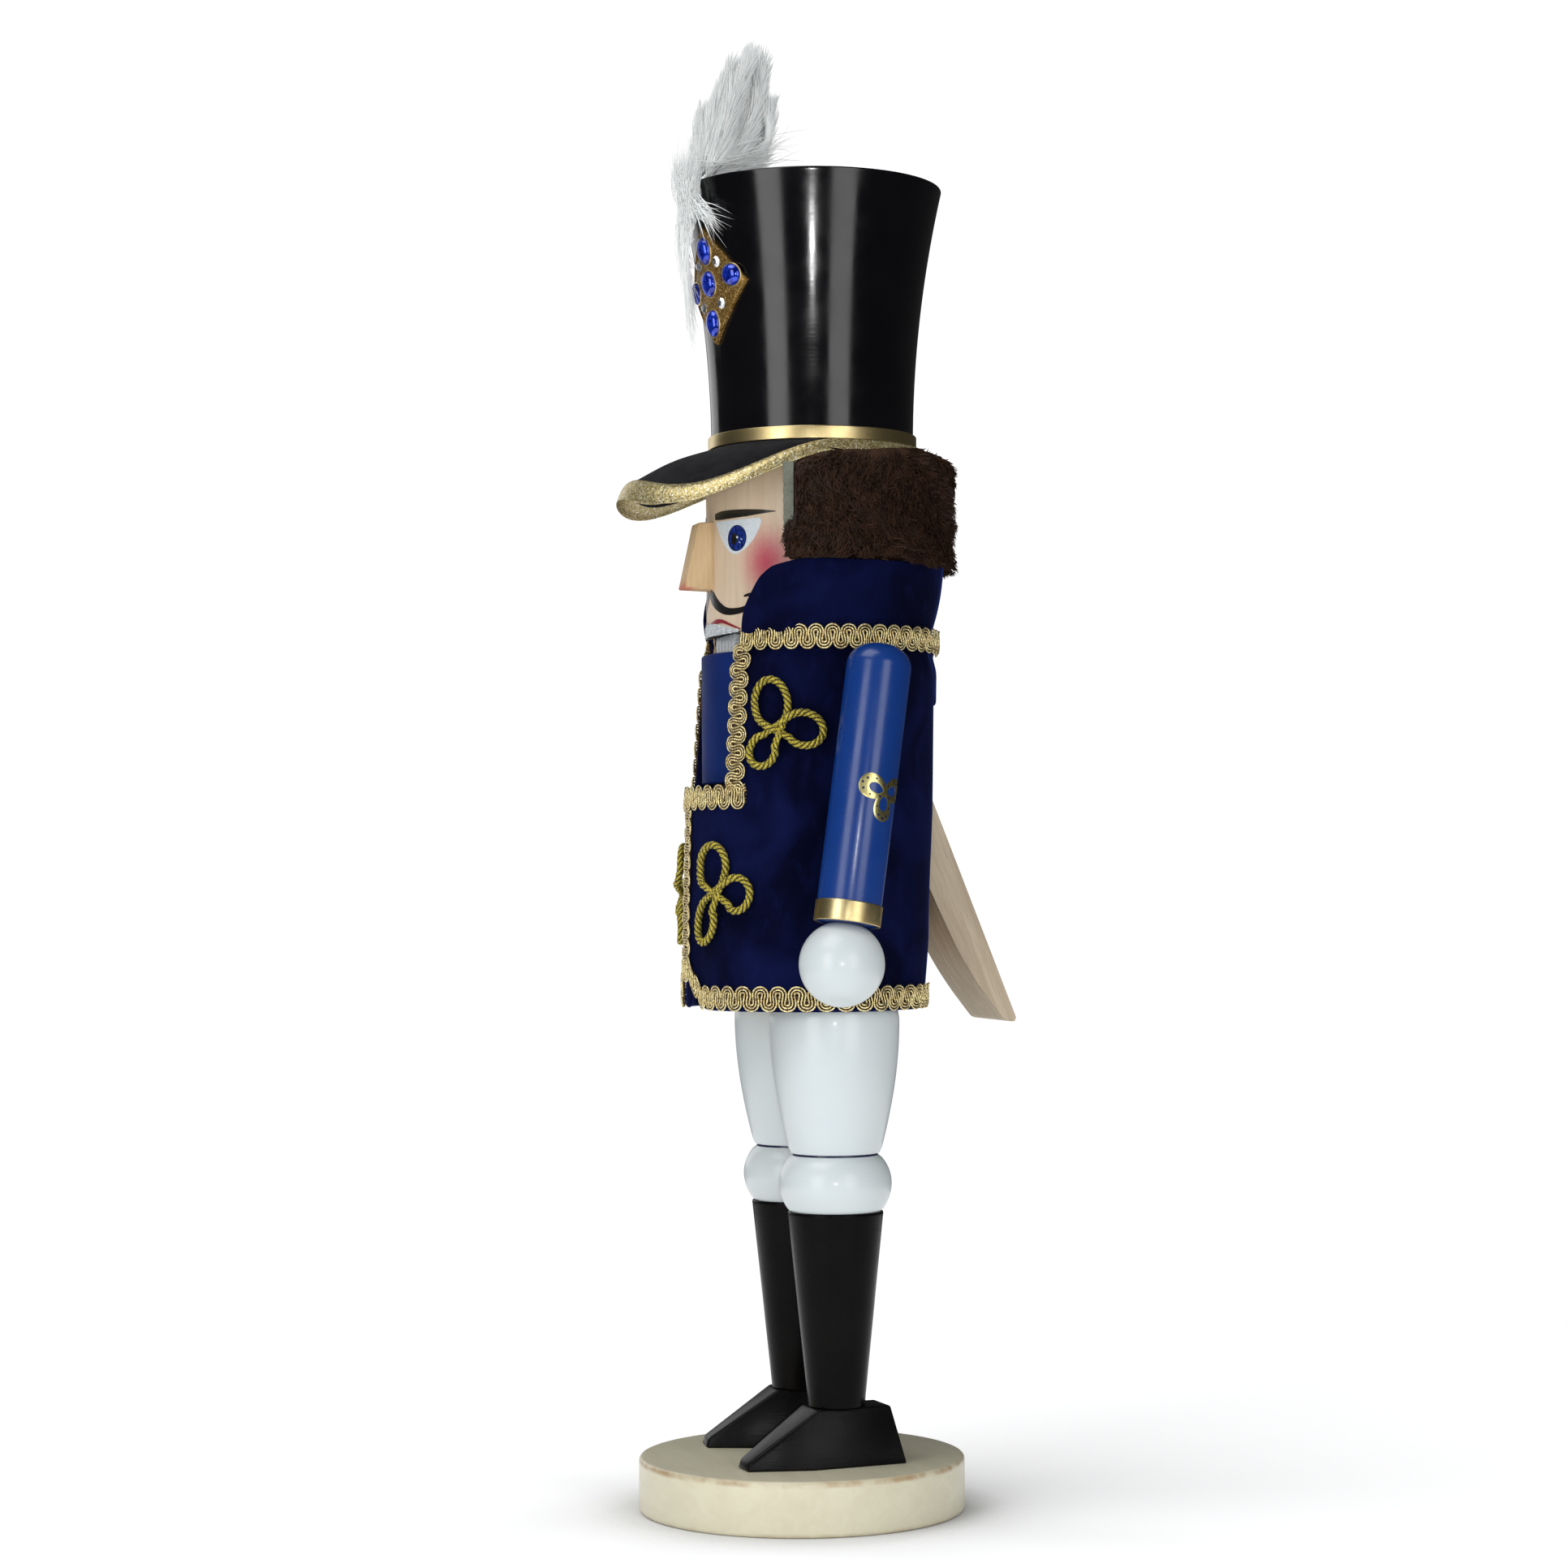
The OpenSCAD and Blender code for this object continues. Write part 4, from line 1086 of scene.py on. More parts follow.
def barbs_of(spine, rng, count=1500):
    """Barbs that stand off a feather's spine all round and lean towards its tip."""
    last, spread = len(spine) - 1, 0.6
    at = rng.uniform(0.04, 1.0, count)
    i = np.minimum((at * last).astype(int), last - 1)
    along = unit(spine[i + 1] - spine[i])
    turn = rng.uniform(0, 2 * np.pi, count)
    across = unit(np.cross(along, ASIDE))
    away = np.cos(turn)[:, None] * across + np.sin(turn)[:, None] * ASIDE * spread
    size = (12.5 * np.sin(np.pi * np.clip(0.2 + at * 0.66, 0, 1)) ** 0.6
            * rng.uniform(0.7, 1.1, count))[:, None, None]
    t = np.linspace(0, 1, 6)[None, :, None]
    return (spine[i][:, None] + along[:, None] * size * t
            + away[:, None] * size * (0.52 * t - 0.17 * t**2))


def trimmed(barbs, rng):
    """The barbs that end within the plume's outline, give or take a little, and clear the hat."""
    heights = (420, 430, 441, 448, 456, 463, 470, 477, 482, 485.4)
    front_edge = (46.5, 46.5, 45.2, 44.2, 43.0, 40.6, 36.4, 32.6, 27.6, 21.6)
    back_edge = (40.0, 36.0, 17.0, 15.0, 14.6, 14.3, 14.2, 14.8, 16.6, 21.4)
    top, clear = 485.2, 0.5
    tip = barbs[:, -1]
    forward = (tip - [0, AXIS_Y, 0]) @ AHEAD
    slack = np.abs(rng.normal(0, 0.55, len(tip)))
    barbs = barbs[(forward < np.interp(tip[:, 2], heights, front_edge) + slack)
                  & (forward > np.interp(tip[:, 2], heights, back_edge) - slack)
                  & (tip[:, 2] < top + slack)]
    reach, z = np.linalg.norm(off_axis(barbs), axis=2), barbs[..., 2]
    inside = (reach < crown_r(np.minimum(z, HAT_TOP)) + clear) & (z < HAT_TOP + 0.8)
    return barbs[~inside.any(1)]


def wisps(rng, count, start, middle, end, scatter):
    """Loose hairs through three places, each scattered by its own amount."""
    a, b, c = (np.array(p) + rng.normal(0, 1, (count, 3)) * loose
               for p, loose in zip((start, middle, end), scatter))
    t = np.linspace(0, 1, 6)[None, :, None]
    at = a[:, None] * (1 - t) ** 2 + 2 * b[:, None] * t * (1 - t) + c[:, None] * t * t
    low = crown_r(np.minimum(at[..., 2], HAT_TOP)) + 0.5
    r = np.where(at[..., 2] < HAT_TOP + 1, np.maximum(at[..., 1], low), at[..., 1])
    return around(at[..., 0], r, at[..., 2])


def plume(m):
    """Soft feathers rooted at the cockade's top that lean back over the hat, with loose wisps.

    A spine is given by its tip and its middle, each as distance ahead and height, and by its lean
    to the side. A tuft of wisps goes through three places: degrees, distance and height."""
    rng = np.random.default_rng(23)
    root, steps = 44.6, 60
    spines = [(22.5, 484.5, 31, 455, 0), (28.5, 480, 36, 452, -2), (18.2, 482, 25.5, 452, 2),
              (34, 472, 39.5, 450, 2), (16.8, 476, 21, 450, -3), (39.5, 462, 42, 447, -1.5),
              (25, 482, 33.5, 456, 3.5), (20.5, 480, 28, 448, -3.5), (31, 472, 37, 446, 4),
              (16.6, 466, 19.5, 447.5, 2.5), (16.2, 457, 20.5, 444, 0), (24, 474, 30, 446, 0)]
    quills, barbs = Shape(), []
    for k, (tip_f, tip_z, mid_f, mid_z, lean) in enumerate(spines):
        back = root - mid_f
        spine = curve_through([(root, 420.5 + 0.2 * k, lean * 0.1),
                               (44.8 - 0.27 * back, 432.5 + 0.08 * back, lean * 0.4),
                               (mid_f, mid_z, lean * 0.8), (tip_f + 0.3, tip_z - 5.0, lean)], steps)
        spine = in_plume(spine[:, 0], spine[:, 2], spine[:, 1])
        quills.add(*tube(spine, np.linspace(0.45, 0.12, steps), unit(spine * 0 + ASIDE), 6))
        barbs.append(barbs_of(spine, rng))
    barbs = trimmed(np.concatenate(barbs), rng)
    tufts = [
        (170, (10, 44.6, 424), (3, 45.5, 410), (-2, 39.5, 394), ([3, 0.5, 3], [3, 0.7, 5], [3, 0.9, 7])),
        (120, (9, 45.5, 430), (4, 46.6, 426), (0, 43.5, 408), ([3, 0.6, 3], [3, 0.6, 4], [3, 0.9, 6])),
        (60, (15, 45.5, 428), (22, 46.0, 428), (27, 43.0, 419), ([3, 0.6, 2], [4, 0.8, 2], [5, 1.0, 3])),
        (26, (18, 40, 440), (24, 20, 447), (40, 14, 450), ([4, 5, 2], [8, 4, 3], [20, 4, 5])),
        (260, (13, 45.5, 424), (14, 47.5, 431), (13, 46.5, 441), ([3, 0.8, 2], [4, 1.0, 3], [5, 1.2, 5])),
        (90, (8, 45.5, 431), (5, 47.4, 436), (4, 46.5, 443), ([3, 0.8, 4], [4, 0.6, 3], [4, 0.9, 4]))]
    loose = np.concatenate([wisps(rng, *tuft) for tuft in tufts])
    loose = loose[(loose[..., 2] < 470).all(1)]
    radii = np.array([0.17, 0.18, 0.17, 0.14, 0.09, 0.0])
    half = len(barbs) // 2
    for name, some, thick, flat in (("plume_vanes_a", barbs[:half], 1, 0.5),
                                    ("plume_vanes_b", barbs[half:], 1, 0.5),
                                    ("plume_wisps", loose, 0.75, 1.0)):
        shape = strands(some, radii * thick, np.broadcast_to(ASIDE, some.shape), flat=flat)
        make(name, shape, m["feather"], slot="white_feather", fix=False, sharp=80)
    make("plume_quills", quills, m["feather"], slot="white_feather", instead_of=["plume"])


# ---------------------------------------------------------------- coat and collar

STATION_Z = (HEM_Z, 200, 231, COAT_TOP)
STATION_OFFSET = (-3.2, -2.4, -1.2, 1.8)
STATION_DEPTH = (40.2, 41.0, 41.4, 39.6)
STATION_WIDTH = (45.4, 41.6, 41.4, 39.6)
OPENING_HALF, OPENING_Z = 21.4, 235.5
VENT_HALF, VENT_Z = 18.9, 266.0


def coat_reach(a, z):
    """Distance from the axis to the coat's outside, with the soft folds of its skirt."""
    c, h, w = (np.interp(z, STATION_Z, v) for v in (STATION_OFFSET, STATION_DEPTH, STATION_WIDTH))
    s, k = np.sin(np.radians(a)), np.cos(np.radians(a))
    square, middle = (s / w) ** 2 + (k / h) ** 2, c * k / h**2
    reach = (-middle + np.sqrt(middle**2 - square * ((c / h) ** 2 - 1))) / square
    loose = 0.12 + 0.88 * ease((246 - z) / 85)
    t = np.radians(a)
    folds = (0.42 * np.sin(7 * t + 0.8 + z * 0.012) + 0.34 * np.sin(11 * t - 1.1 - z * 0.02)
             + 0.16 * np.sin(17 * t + 2.0))
    pucker = 0.22 * np.sin(23 * t + 0.5) * ease((z - 270) / 14)
    gathered = 1.5 * ease((z - 276) / 7)
    tuck = 1.3 * ease((192 - z) / 26) * ease((np.abs((a + 180) % 360 - 180) - 120) / 30)
    return reach + folds * loose + pucker - 0.15 - gathered - tuck


def hem_rise(a):
    """How much higher the hem is near the middle of the front."""
    a = (np.asarray(a, float) + 180) % 360 - 180
    return 9.0 * ease(1 - np.abs(a) / 17)


def on_coat(a, z, lift=0.0):
    return around(a, coat_reach(a, z) + lift, z)


def coat(m):
    """Velvet coat: one cloth with the front opening and back vent cut out and their edges turned in."""
    skin = HEAD_R + 0.7
    heights = np.concatenate([np.linspace(HEM_Z, OPENING_Z, 33), np.linspace(OPENING_Z, VENT_Z, 16)[1:],
                              np.linspace(VENT_Z, COAT_TOP - 0.3, 13)[1:]])
    front_cols, side_cols, back_cols = 12, 74, 10
    hem_taper, lip = 0.996, 0.9

    def turned_in(outside):
        """Reach of a cut edge's three columns, from the body outwards."""
        return skin + 0.6, skin + (outside - skin) * 0.72, outside - 0.35

    rows = []
    for z in heights:
        edge = math.degrees(math.asin(OPENING_HALF / float(coat_reach(31, z))))
        vent = 180 - math.degrees(math.asin(VENT_HALF / float(coat_reach(153, z))))
        a = np.concatenate([np.linspace(0, edge, front_cols, endpoint=False), [edge] * 3,
                            np.linspace(edge, vent, side_cols)[1:-1], [vent] * 3,
                            np.linspace(vent, 180, back_cols + 1)[1:]])
        reach = coat_reach(a, z)
        outer = reach.copy()
        first, last = front_cols, front_cols + 3 + side_cols - 2
        if z > OPENING_Z - 0.1:
            reach[first:first + 3] = turned_in(outer[first])
            inner = reach[first:first + 2]
            a[first:first + 2] = np.degrees(np.arcsin((OPENING_HALF + 0.4) / inner))
            a[first + 2] += lip
        if z < VENT_Z + 0.1:
            reach[last:last + 3] = turned_in(outer[last])[::-1]
            a[last] -= lip
        lifted = z + hem_rise(a) * np.clip(1 - (z - HEM_Z) / 34, 0, 1)
        rows.append(around(a, reach * hem_taper if z == HEM_Z else reach, lifted))
    for depth, drop in ((0.35, 0.25), (0.7, 0.05), (1.0, 0.0)):
        ring = rows[len(heights) - 1].copy()
        flat = off_axis(ring)
        r = np.linalg.norm(flat, axis=1, keepdims=True)
        goal = r + (np.minimum(skin + 0.2, r) - r) * depth
        ring = flat / r * goal + [0, AXIS_Y, COAT_TOP - drop]
        rows.append(ring)
    grid = np.stack(rows)
    n_rows, cols = grid.shape[:2]
    keep = []
    for i in range(n_rows - 1):
        z = heights[min(i, len(heights) - 1)]
        for j in range(cols - 1):
            in_front = j < front_cols and z >= OPENING_Z - 0.01
            in_vent = j >= last + 2 and z < VENT_Z - 0.01
            if not (in_front or in_vent):
                at = i * cols + j
                keep.append([at, at + 1, at + cols + 1, at + cols])
    shape = both(Shape().add(grid, keep))
    obj = make("velvet_coat", shape, m["velvet"], instead_of=["coat_body"], slot="blue_velvet",
               shell=1.9, divide=1, sharp=75)


def collar_front(z):
    """Angle at which the collar's front edge stands, rounded back towards its top."""
    t = (COLLAR_TOP - z) / (COLLAR_TOP - COAT_TOP)
    return np.interp(t, (0, 0.05, 0.10, 0.24, 0.50, 0.70, 0.88, 1.0),
                     (68.0, 60.5, 55.0, 49.4, 43.8, 39.8, 37.6, 36.6))


def collar(m):
    z0, z1 = COAT_TOP - 1.5, COLLAR_TOP
    heights = z1 - (z1 - z0) * np.linspace(1, 0, 26) ** 1.5
    rows = []
    for z in heights:
        t = (z - z0) / (z1 - z0)
        start = float(collar_front(z))
        a = np.linspace(start, 360 - start, 150)
        wave = 0.35 * np.sin(np.radians(a) * 5 + 1) * t + 0.18 * np.sin(np.radians(a) * 13) * (1 - t)
        bow = 0.9 * math.sin(math.pi * t)
        rows.append(around(a, 38.6 + 4.6 * t + bow + wave, z))
    obj = make("velvet_collar", Shape().add(np.stack(rows), quads(len(rows), 150)), m["velvet"],
               instead_of=["collar"], slot="blue_velvet", shell=2.6, divide=1, sharp=80)


# ---------------------------------------------------------------- braid and cord

def gimp(place, length):
    """Scroll braid: three threads side by side in round loops, over four straight warp threads.

    place(s, w, h) is a point s along, w across and h above the braid's middle line."""
    pitch, half_w, bulb = 5.8, 2.95, 0.80
    loops = max(2, round(length / pitch))
    t = np.linspace(0, 2 * np.pi * loops, loops * 26)
    s = (t / (2 * np.pi) * pitch + bulb * np.sin(2 * t)) * (length / (loops * pitch))
    w = half_w * np.cos(t)
    ds, dw = np.gradient(s), np.gradient(w)
    size = np.maximum(np.hypot(ds, dw), 1e-6)
    shape, warp = Shape(), Shape()
    for offset, radius in ((-0.92, 0.31), (0, 0.31), (0.92, 0.31)):
        at_s, at_w = s - dw / size * offset, w + ds / size * offset
        h = 0.82 + 0.25 * np.sin(t * 2 + offset)
        path, above = place(at_s, at_w, h), place(at_s, at_w, h + 1)
        shape.add(*tube(path, radius, unit(above - path), 6))
    straight = np.linspace(0, length, max(8, int(length / 0.8)))
    for w0, radius in ((-1.7, 0.40), (-0.6, 0.42), (0.6, 0.42), (1.7, 0.40)):
        beads = 0.14 * np.sin(straight * 3.1 + w0)
        path = place(straight, w0 + 0 * straight, 0.22 + beads)
        above = place(straight, w0 + 0 * straight, 1.22 + beads)
        warp.add(*tube(path, radius, unit(above - path), 6))
    return shape, warp


def braids(m):
    mean_r = 42.3

    def round_coat(start, height, lift=0, follows_hem=False):
        def place(s, w, h):
            a = start + np.degrees(s / mean_r)
            z = height + hem_rise(a) * follows_hem + w
            return on_coat(a, z, h + lift)
        return place

    def up_coat(a0, z0):
        return lambda s, w, h: on_coat(a0 + np.degrees(w / coat_reach(a0, z0 + s)), z0 + s, h)

    def arc(degrees):
        return math.radians(degrees) * mean_r

    def sew(name, parts, node, mirror=False):
        for part, shapes in zip(("gimp", "warp"), zip(*parts)):
            whole = Shape()
            for shape in shapes:
                whole.add(np.concatenate(shape.points), shape.faces)
            if mirror:
                whole = both(whole)
            make(f"{name}_{part}", whole, m["braid" if part == "gimp" else "warp"],
                 instead_of=[node] if part == "gimp" else (), slot="gold_braid", sharp=70)

    neck_z, start = COAT_TOP - 2.5, 36.0
    sew("neck", [gimp(round_coat(start, neck_z, lift=1), arc(360 - 2 * start))], "neck_braid")
    sew("placket", [gimp(up_coat(36.4, OPENING_Z + 2.0), neck_z - OPENING_Z - 3.5)],
        "placket_braid", mirror=True)
    rise = float(hem_rise(0))
    sew("closure", [gimp(round_coat(-42.5, OPENING_Z - 0.2), arc(85)),
                    gimp(up_coat(0, HEM_Z + 6 + rise), OPENING_Z - HEM_Z - rise - 10)],
        "closure_braid")
    vent = 27.6
    sew("hem", [gimp(round_coat(vent - 180, HEM_Z + 4.3, follows_hem=True), arc(360 - 2 * vent))],
        "hem_braid")


def knot_line(loops):
    """One cord through three loops that cross in the middle, with its rise above the cloth."""
    line = []
    for u, v, wide, tall, tilt in loops:
        back = math.atan2(-v, -u) - math.radians(tilt)
        t = back + np.radians(np.linspace(38, 322, 15))
        x, y = wide * np.cos(t), tall * np.sin(t)
        c, s = math.cos(math.radians(tilt)), math.sin(math.radians(tilt))
        rise = np.interp(np.arange(15), [0, 3, 11, 14], [0.0, 0.2, 0.7, 2.1])
        line.append(np.column_stack([u + x * c - y * s, v + x * s + y * c, rise]))
    return curve_through(np.concatenate(line), 330, closed=True)


def knots(m):
    strand_r, cord_r, pitch = 0.68, 0.60, 6.0
    settings = {
        "upper": (59.5, 257.6, [(-3.6, 7.6, 5.4, 7.6, 8), (7.0, -1.0, 6.0, 5.2, -20),
                                (-6.0, -7.6, 4.4, 5.3, -22)]),
        "lower": (29.0, 205.0, [(-2.6, 8.0, 6.0, 6.8, 5), (8.0, -1.2, 4.6, 5.4, -10),
                                (-5.4, -9.4, 4.8, 7.8, -22)])}
    for name, (a0, z0, loops) in settings.items():
        line = knot_line(loops)
        r0 = float(coat_reach(a0, z0))
        a, z = a0 + np.degrees(line[:, 0] / r0), z0 + line[:, 1]
        middle = on_coat(a, z, 1.35 + line[:, 2])
        above = unit(on_coat(a, z, 2.35 + line[:, 2]) - middle)
        along = unit(np.roll(middle, -1, 0) - np.roll(middle, 1, 0))
        aside = unit(np.cross(along, above))
        above = np.cross(aside, along)
        walked = np.concatenate([[0], np.cumsum(np.linalg.norm(np.diff(middle, axis=0), axis=1))])
        total = walked[-1] + np.linalg.norm(middle[0] - middle[-1])
        turns = round(total / pitch)
        near, painted_groove_shade = Shape(), Shape()
        # The thin near-black tubes lie in the grooves between the strands: painted shade.
        for k in range(3):
            for part, at, out, radius in ((near, k / 3, strand_r, cord_r),
                                          (painted_groove_shade, k / 3 + 1 / 6, strand_r + 0.30, 0.16)):
                t = (walked / total * turns + at) * 2 * np.pi
                path = middle + out * (aside * np.cos(t)[:, None] + above * np.sin(t)[:, None])
                part.add(*tube(path, radius, above, 7 if part is near else 4, closed=True))
        for side in SIDES:
            shape = painted_groove_shade if SIDES[side] == LEFT else painted_groove_shade.mirrored()
            make(f"{side}_{name}_furrows", shape, m["furrow"], slot="gold_cord", sharp=75)
        for side, shape in (("right", near.mirrored()), ("left", near)):
            make(f"{side}_{name}_cord", shape, m["cord"], instead_of=[f"{side}_{name}_knot"],
                 slot="gold_cord", sharp=75)


# ---------------------------------------------------------------- arms

ARM_TOP = np.array([51.3, AXIS_Y + 7.7, 283.3])
ARM_TILT = (math.radians(-9), math.radians(-4.3))
ARM_R, ARM_LEN, HAND_DROP, HAND_R = 10.35, 90.5, 103.2, 13.6


def along_arm(points):
    """Left arm: from its own upright axis, top at zero, to where it hangs."""
    p = np.asarray(points, float).copy()
    c, s = math.cos(ARM_TILT[0]), math.sin(ARM_TILT[0])
    p[..., 1], p[..., 2] = p[..., 1] * c - p[..., 2] * s, p[..., 1] * s + p[..., 2] * c
    c, s = math.cos(ARM_TILT[1]), math.sin(ARM_TILT[1])
    p[..., 0], p[..., 2] = p[..., 0] * c + p[..., 2] * s, -p[..., 0] * s + p[..., 2] * c
    return p + ARM_TOP


def arm_turning(corners, steps=96):
    shape = lathe(corners, (0, 0), steps)
    shape.points = [along_arm(p) for p in shape.points]
    return shape


def on_arm(u, z, lift):
    """Places on the left arm: u millimetres round from its outermost line, z along it."""
    a = np.asarray(u) / ARM_R
    r = ARM_R + np.asarray(lift)
    return along_arm(np.stack(np.broadcast_arrays(r * np.cos(a), r * np.sin(a), z), -1))


def stencil():
    """Gold outlines of three leaves on the arm's outer side, and the dark dots on them."""
    join_u, join_z = 4.5, -48.6
    gold_shape, dots = Shape(), Shape()
    t = np.linspace(0, 2 * np.pi, 56, endpoint=False)
    for tilt, long, wide in ((163, 5.0, 3.9), (17, 5.0, 3.9), (-90, 4.9, 3.5)):
        c, s = math.cos(math.radians(tilt)), math.sin(math.radians(tilt))
        rings = []
        for k in np.linspace(0, 1, 7):
            along = (long - 0.6) + (2.5 + (long - 2.5) * k) * np.cos(t) - 0.9 * (1 - k)
            across = (1.55 + (wide - 1.55) * k) * np.sin(t) * (1 + 0.18 * np.cos(t))
            rings.append((join_u + along * c - across * s, join_z + along * s + across * c))
        u, z = (np.stack(v) for v in zip(*rings))
        lift = 0.12 * np.array([0.5, 1, 1, 1, 1, 1, 0.5])[:, None] * np.ones_like(u)
        gold_shape.add(*closed_grid(on_arm(u, z, lift), on_arm(u, z, -0.2), wrap=True))
        for k in (-2.4, -1.5, -0.7, 0.0, 0.7, 1.5, 2.4):
            ring_r = 0.58 * long, 0.66 * wide
            along = (long - 0.6) + (ring_r[0] + 1.0) * math.cos(k)
            across = (ring_r[1] + 0.15) * math.sin(k)
            mid_u, mid_z = join_u + along * c - across * s, join_z + along * s + across * c
            r = np.array([0.02, 0.6, 1.0])[:, None]
            size = 0.42 if abs(k) < 1 else 0.33
            du, dz = size * r * np.cos(t[::4]), size * r * np.sin(t[::4])
            dots.add(*closed_grid(on_arm(mid_u + du, mid_z + dz, 0.17),
                                  on_arm(mid_u + du, mid_z + dz, 0.0), wrap=True))
    return gold_shape, dots


def arms(m):
    dome = 7.4
    t = np.linspace(0, np.pi / 2, 14)
    top = [(ARM_R * math.sin(x) ** 0.86, -dome + dome * math.cos(x) ** 1.05) for x in t]
    top[0] = (0, 0)
    body = top + [(ARM_R, -20), (ARM_R, -ARM_LEN + 1.0), (ARM_R - 0.25, -ARM_LEN + 0.3),
                  (ARM_R - 1.2, -ARM_LEN), (0, -ARM_LEN)]
    cuff_r, cuff_h = ARM_R + 0.35, 6.7
    cuff = fillet([(ARM_R - 0.6, -ARM_LEN + 0.1, 0), (cuff_r, -ARM_LEN + 0.1, 0.3),
                   (cuff_r, -ARM_LEN + cuff_h, 0.3), (ARM_R - 0.6, -ARM_LEN + cuff_h, 0),
                   (ARM_R - 0.6, -ARM_LEN + 0.1, 0)])
    start = math.acos((HAND_DROP - ARM_LEN) / HAND_R)
    ball = [(0, -ARM_LEN - 0.05)] + [
        (HAND_R * math.sin(x), -HAND_DROP + HAND_R * math.cos(x)) for x in np.linspace(start, np.pi, 44)]
    ornament, dots = stencil()
    pieces = [("arm_turning", arm_turning(body), "blue", "arm", "blue_paint", 50),
              ("cuff_foil", arm_turning(cuff), "foil", "cuff", "gold_foil", 50),
              ("hand_ball", arm_turning(ball), "white", "hand", "white_paint", 50),
              ("arm_stencil", ornament, "stencil", None, "gold_foil", 70),
              ("stencil_dots", dots, "navy_enamel", None, "blue_paint", 70)]
    for side, sign in SIDES.items():
        for name, shape, finish, node, slot, sharp in pieces:
            make(f"{side}_{name}", shape if sign == LEFT else shape.mirrored(), m[finish],
                 instead_of=[f"{side}_{node}"] if node else (), slot=slot, sharp=sharp)


# ---------------------------------------------------------------- stage, light and camera

def stage():
    """Plain pale floor and white world.

    The floor glows a little to stay evenly pale, and its glow is dimmed near the object, which paints
    a shadow: the halo round the base is partly painted shadow. The world is white to the camera and
    nearly black in reflections."""
    floor_r, sides = 0.64, 64
    t = np.linspace(0, 2 * np.pi, sides, endpoint=False)
    mesh = bpy.data.meshes.new("floor")
    rim = [(floor_r * math.cos(x), floor_r * math.sin(x), 0) for x in t]
    mesh.from_pydata(rim, [], [list(range(sides))])
    floor = put("floor", mesh)
    f = Finish("floor", roughness=0.9, specular_ior_level=0.0, emission_strength=0.56)
    # The occlusion term dims the floor's glow near the object: a painted shadow round the base.
    open_sky = f.add("AmbientOcclusion", {"Distance": 0.5}, samples=8).outputs["AO"]
    glow_outside_painted_shadow = f.between(f.math("POWER", open_sky, 4), 0.0, 0.80)
    f.set(base_color=(0.74, 0.74, 0.74), emission_color=f.mix(glow_outside_painted_shadow, (0, 0, 0), (1, 1, 1)))
    mesh.materials.append(f.material)
    world = bpy.data.worlds.new("studio")
    world.use_nodes = True
    tree = world.node_tree
    back = tree.nodes["Background"]
    seen = tree.nodes.new("ShaderNodeBackground")
    dim = tree.nodes.new("ShaderNodeBackground")
    for node, color, strength in ((seen, (1, 1, 1, 1), 1.05), (back, (0.95, 0.97, 1, 1), 0.34),
                                  (dim, (1, 1, 1, 1), 0.035)):
        node.inputs["Color"].default_value = color
        node.inputs["Strength"].default_value = strength
    path = tree.nodes.new("ShaderNodeLightPath")
    for ray, below, above in (("Is Glossy Ray", back, dim), ("Is Camera Ray", None, seen)):
        mix = tree.nodes.new("ShaderNodeMixShader")
        tree.links.new(path.outputs[ray], mix.inputs[0])
        tree.links.new((below or last).outputs[0], mix.inputs[1])
        tree.links.new(above.outputs[0], mix.inputs[2])
        last = mix
    tree.links.new(last.outputs[0], tree.nodes["World Output"].inputs[0])
    bpy.context.scene.world = world


def softbox(name, azimuth, height, distance, size, power, aim_z=0.25):
    """A rectangular lamp aimed at the axis: degrees from the front, metres and watts."""
    data = bpy.data.lights.new(name, "AREA")
    data.shape, data.size, data.size_y, data.energy = "RECTANGLE", size[0], size[1], power
    lamp = put(name, data)
    t = math.radians(azimuth)
    lamp.location = (math.sin(t) * distance, -math.cos(t) * distance, height)
    lamp.rotation_euler = (Vector((0, 0, aim_z)) - lamp.location).to_track_quat("-Z", "Y").to_euler()


def lights():
    softbox("strip_front", 36, 0.42, 1.5, (0.60, 1.1), 6.6)
    softbox("strip_back", 104, 0.42, 1.5, (0.60, 1.1), 5.6)
    softbox("flash", 75, 0.235, 1.3, (0.04, 0.06), 1.7, 0.26)
    softbox("overhead", 20, 1.9, 0.9, (1.3, 1.3), 15.0, 0.0)
    softbox("far_side", 285, 0.7, 1.6, (0.9, 1.2), 3.5)


def camera():
    data = bpy.data.cameras.new("camera")
    data.sensor_width, data.lens = 36.0, 77.2
    data.shift_x, data.shift_y = -0.0093, 0.0652
    data.clip_start, data.clip_end = 0.05, 50.0
    eye = put("camera", data)
    azimuth, roll = math.radians(74), math.radians(-0.33)
    forward = Vector((-math.sin(azimuth), math.cos(azimuth), 0))
    eye.rotation_mode = "QUATERNION"
    eye.rotation_quaternion = forward.to_track_quat("-Z", "Y") @ Quaternion((0, 0, 1), roll)
    eye.location = (1.0728, -0.3076, 0.2063)
    bpy.context.scene.camera = eye
    bpy.context.scene.view_settings.view_transform = "Standard"


# ---------------------------------------------------------------- the figure

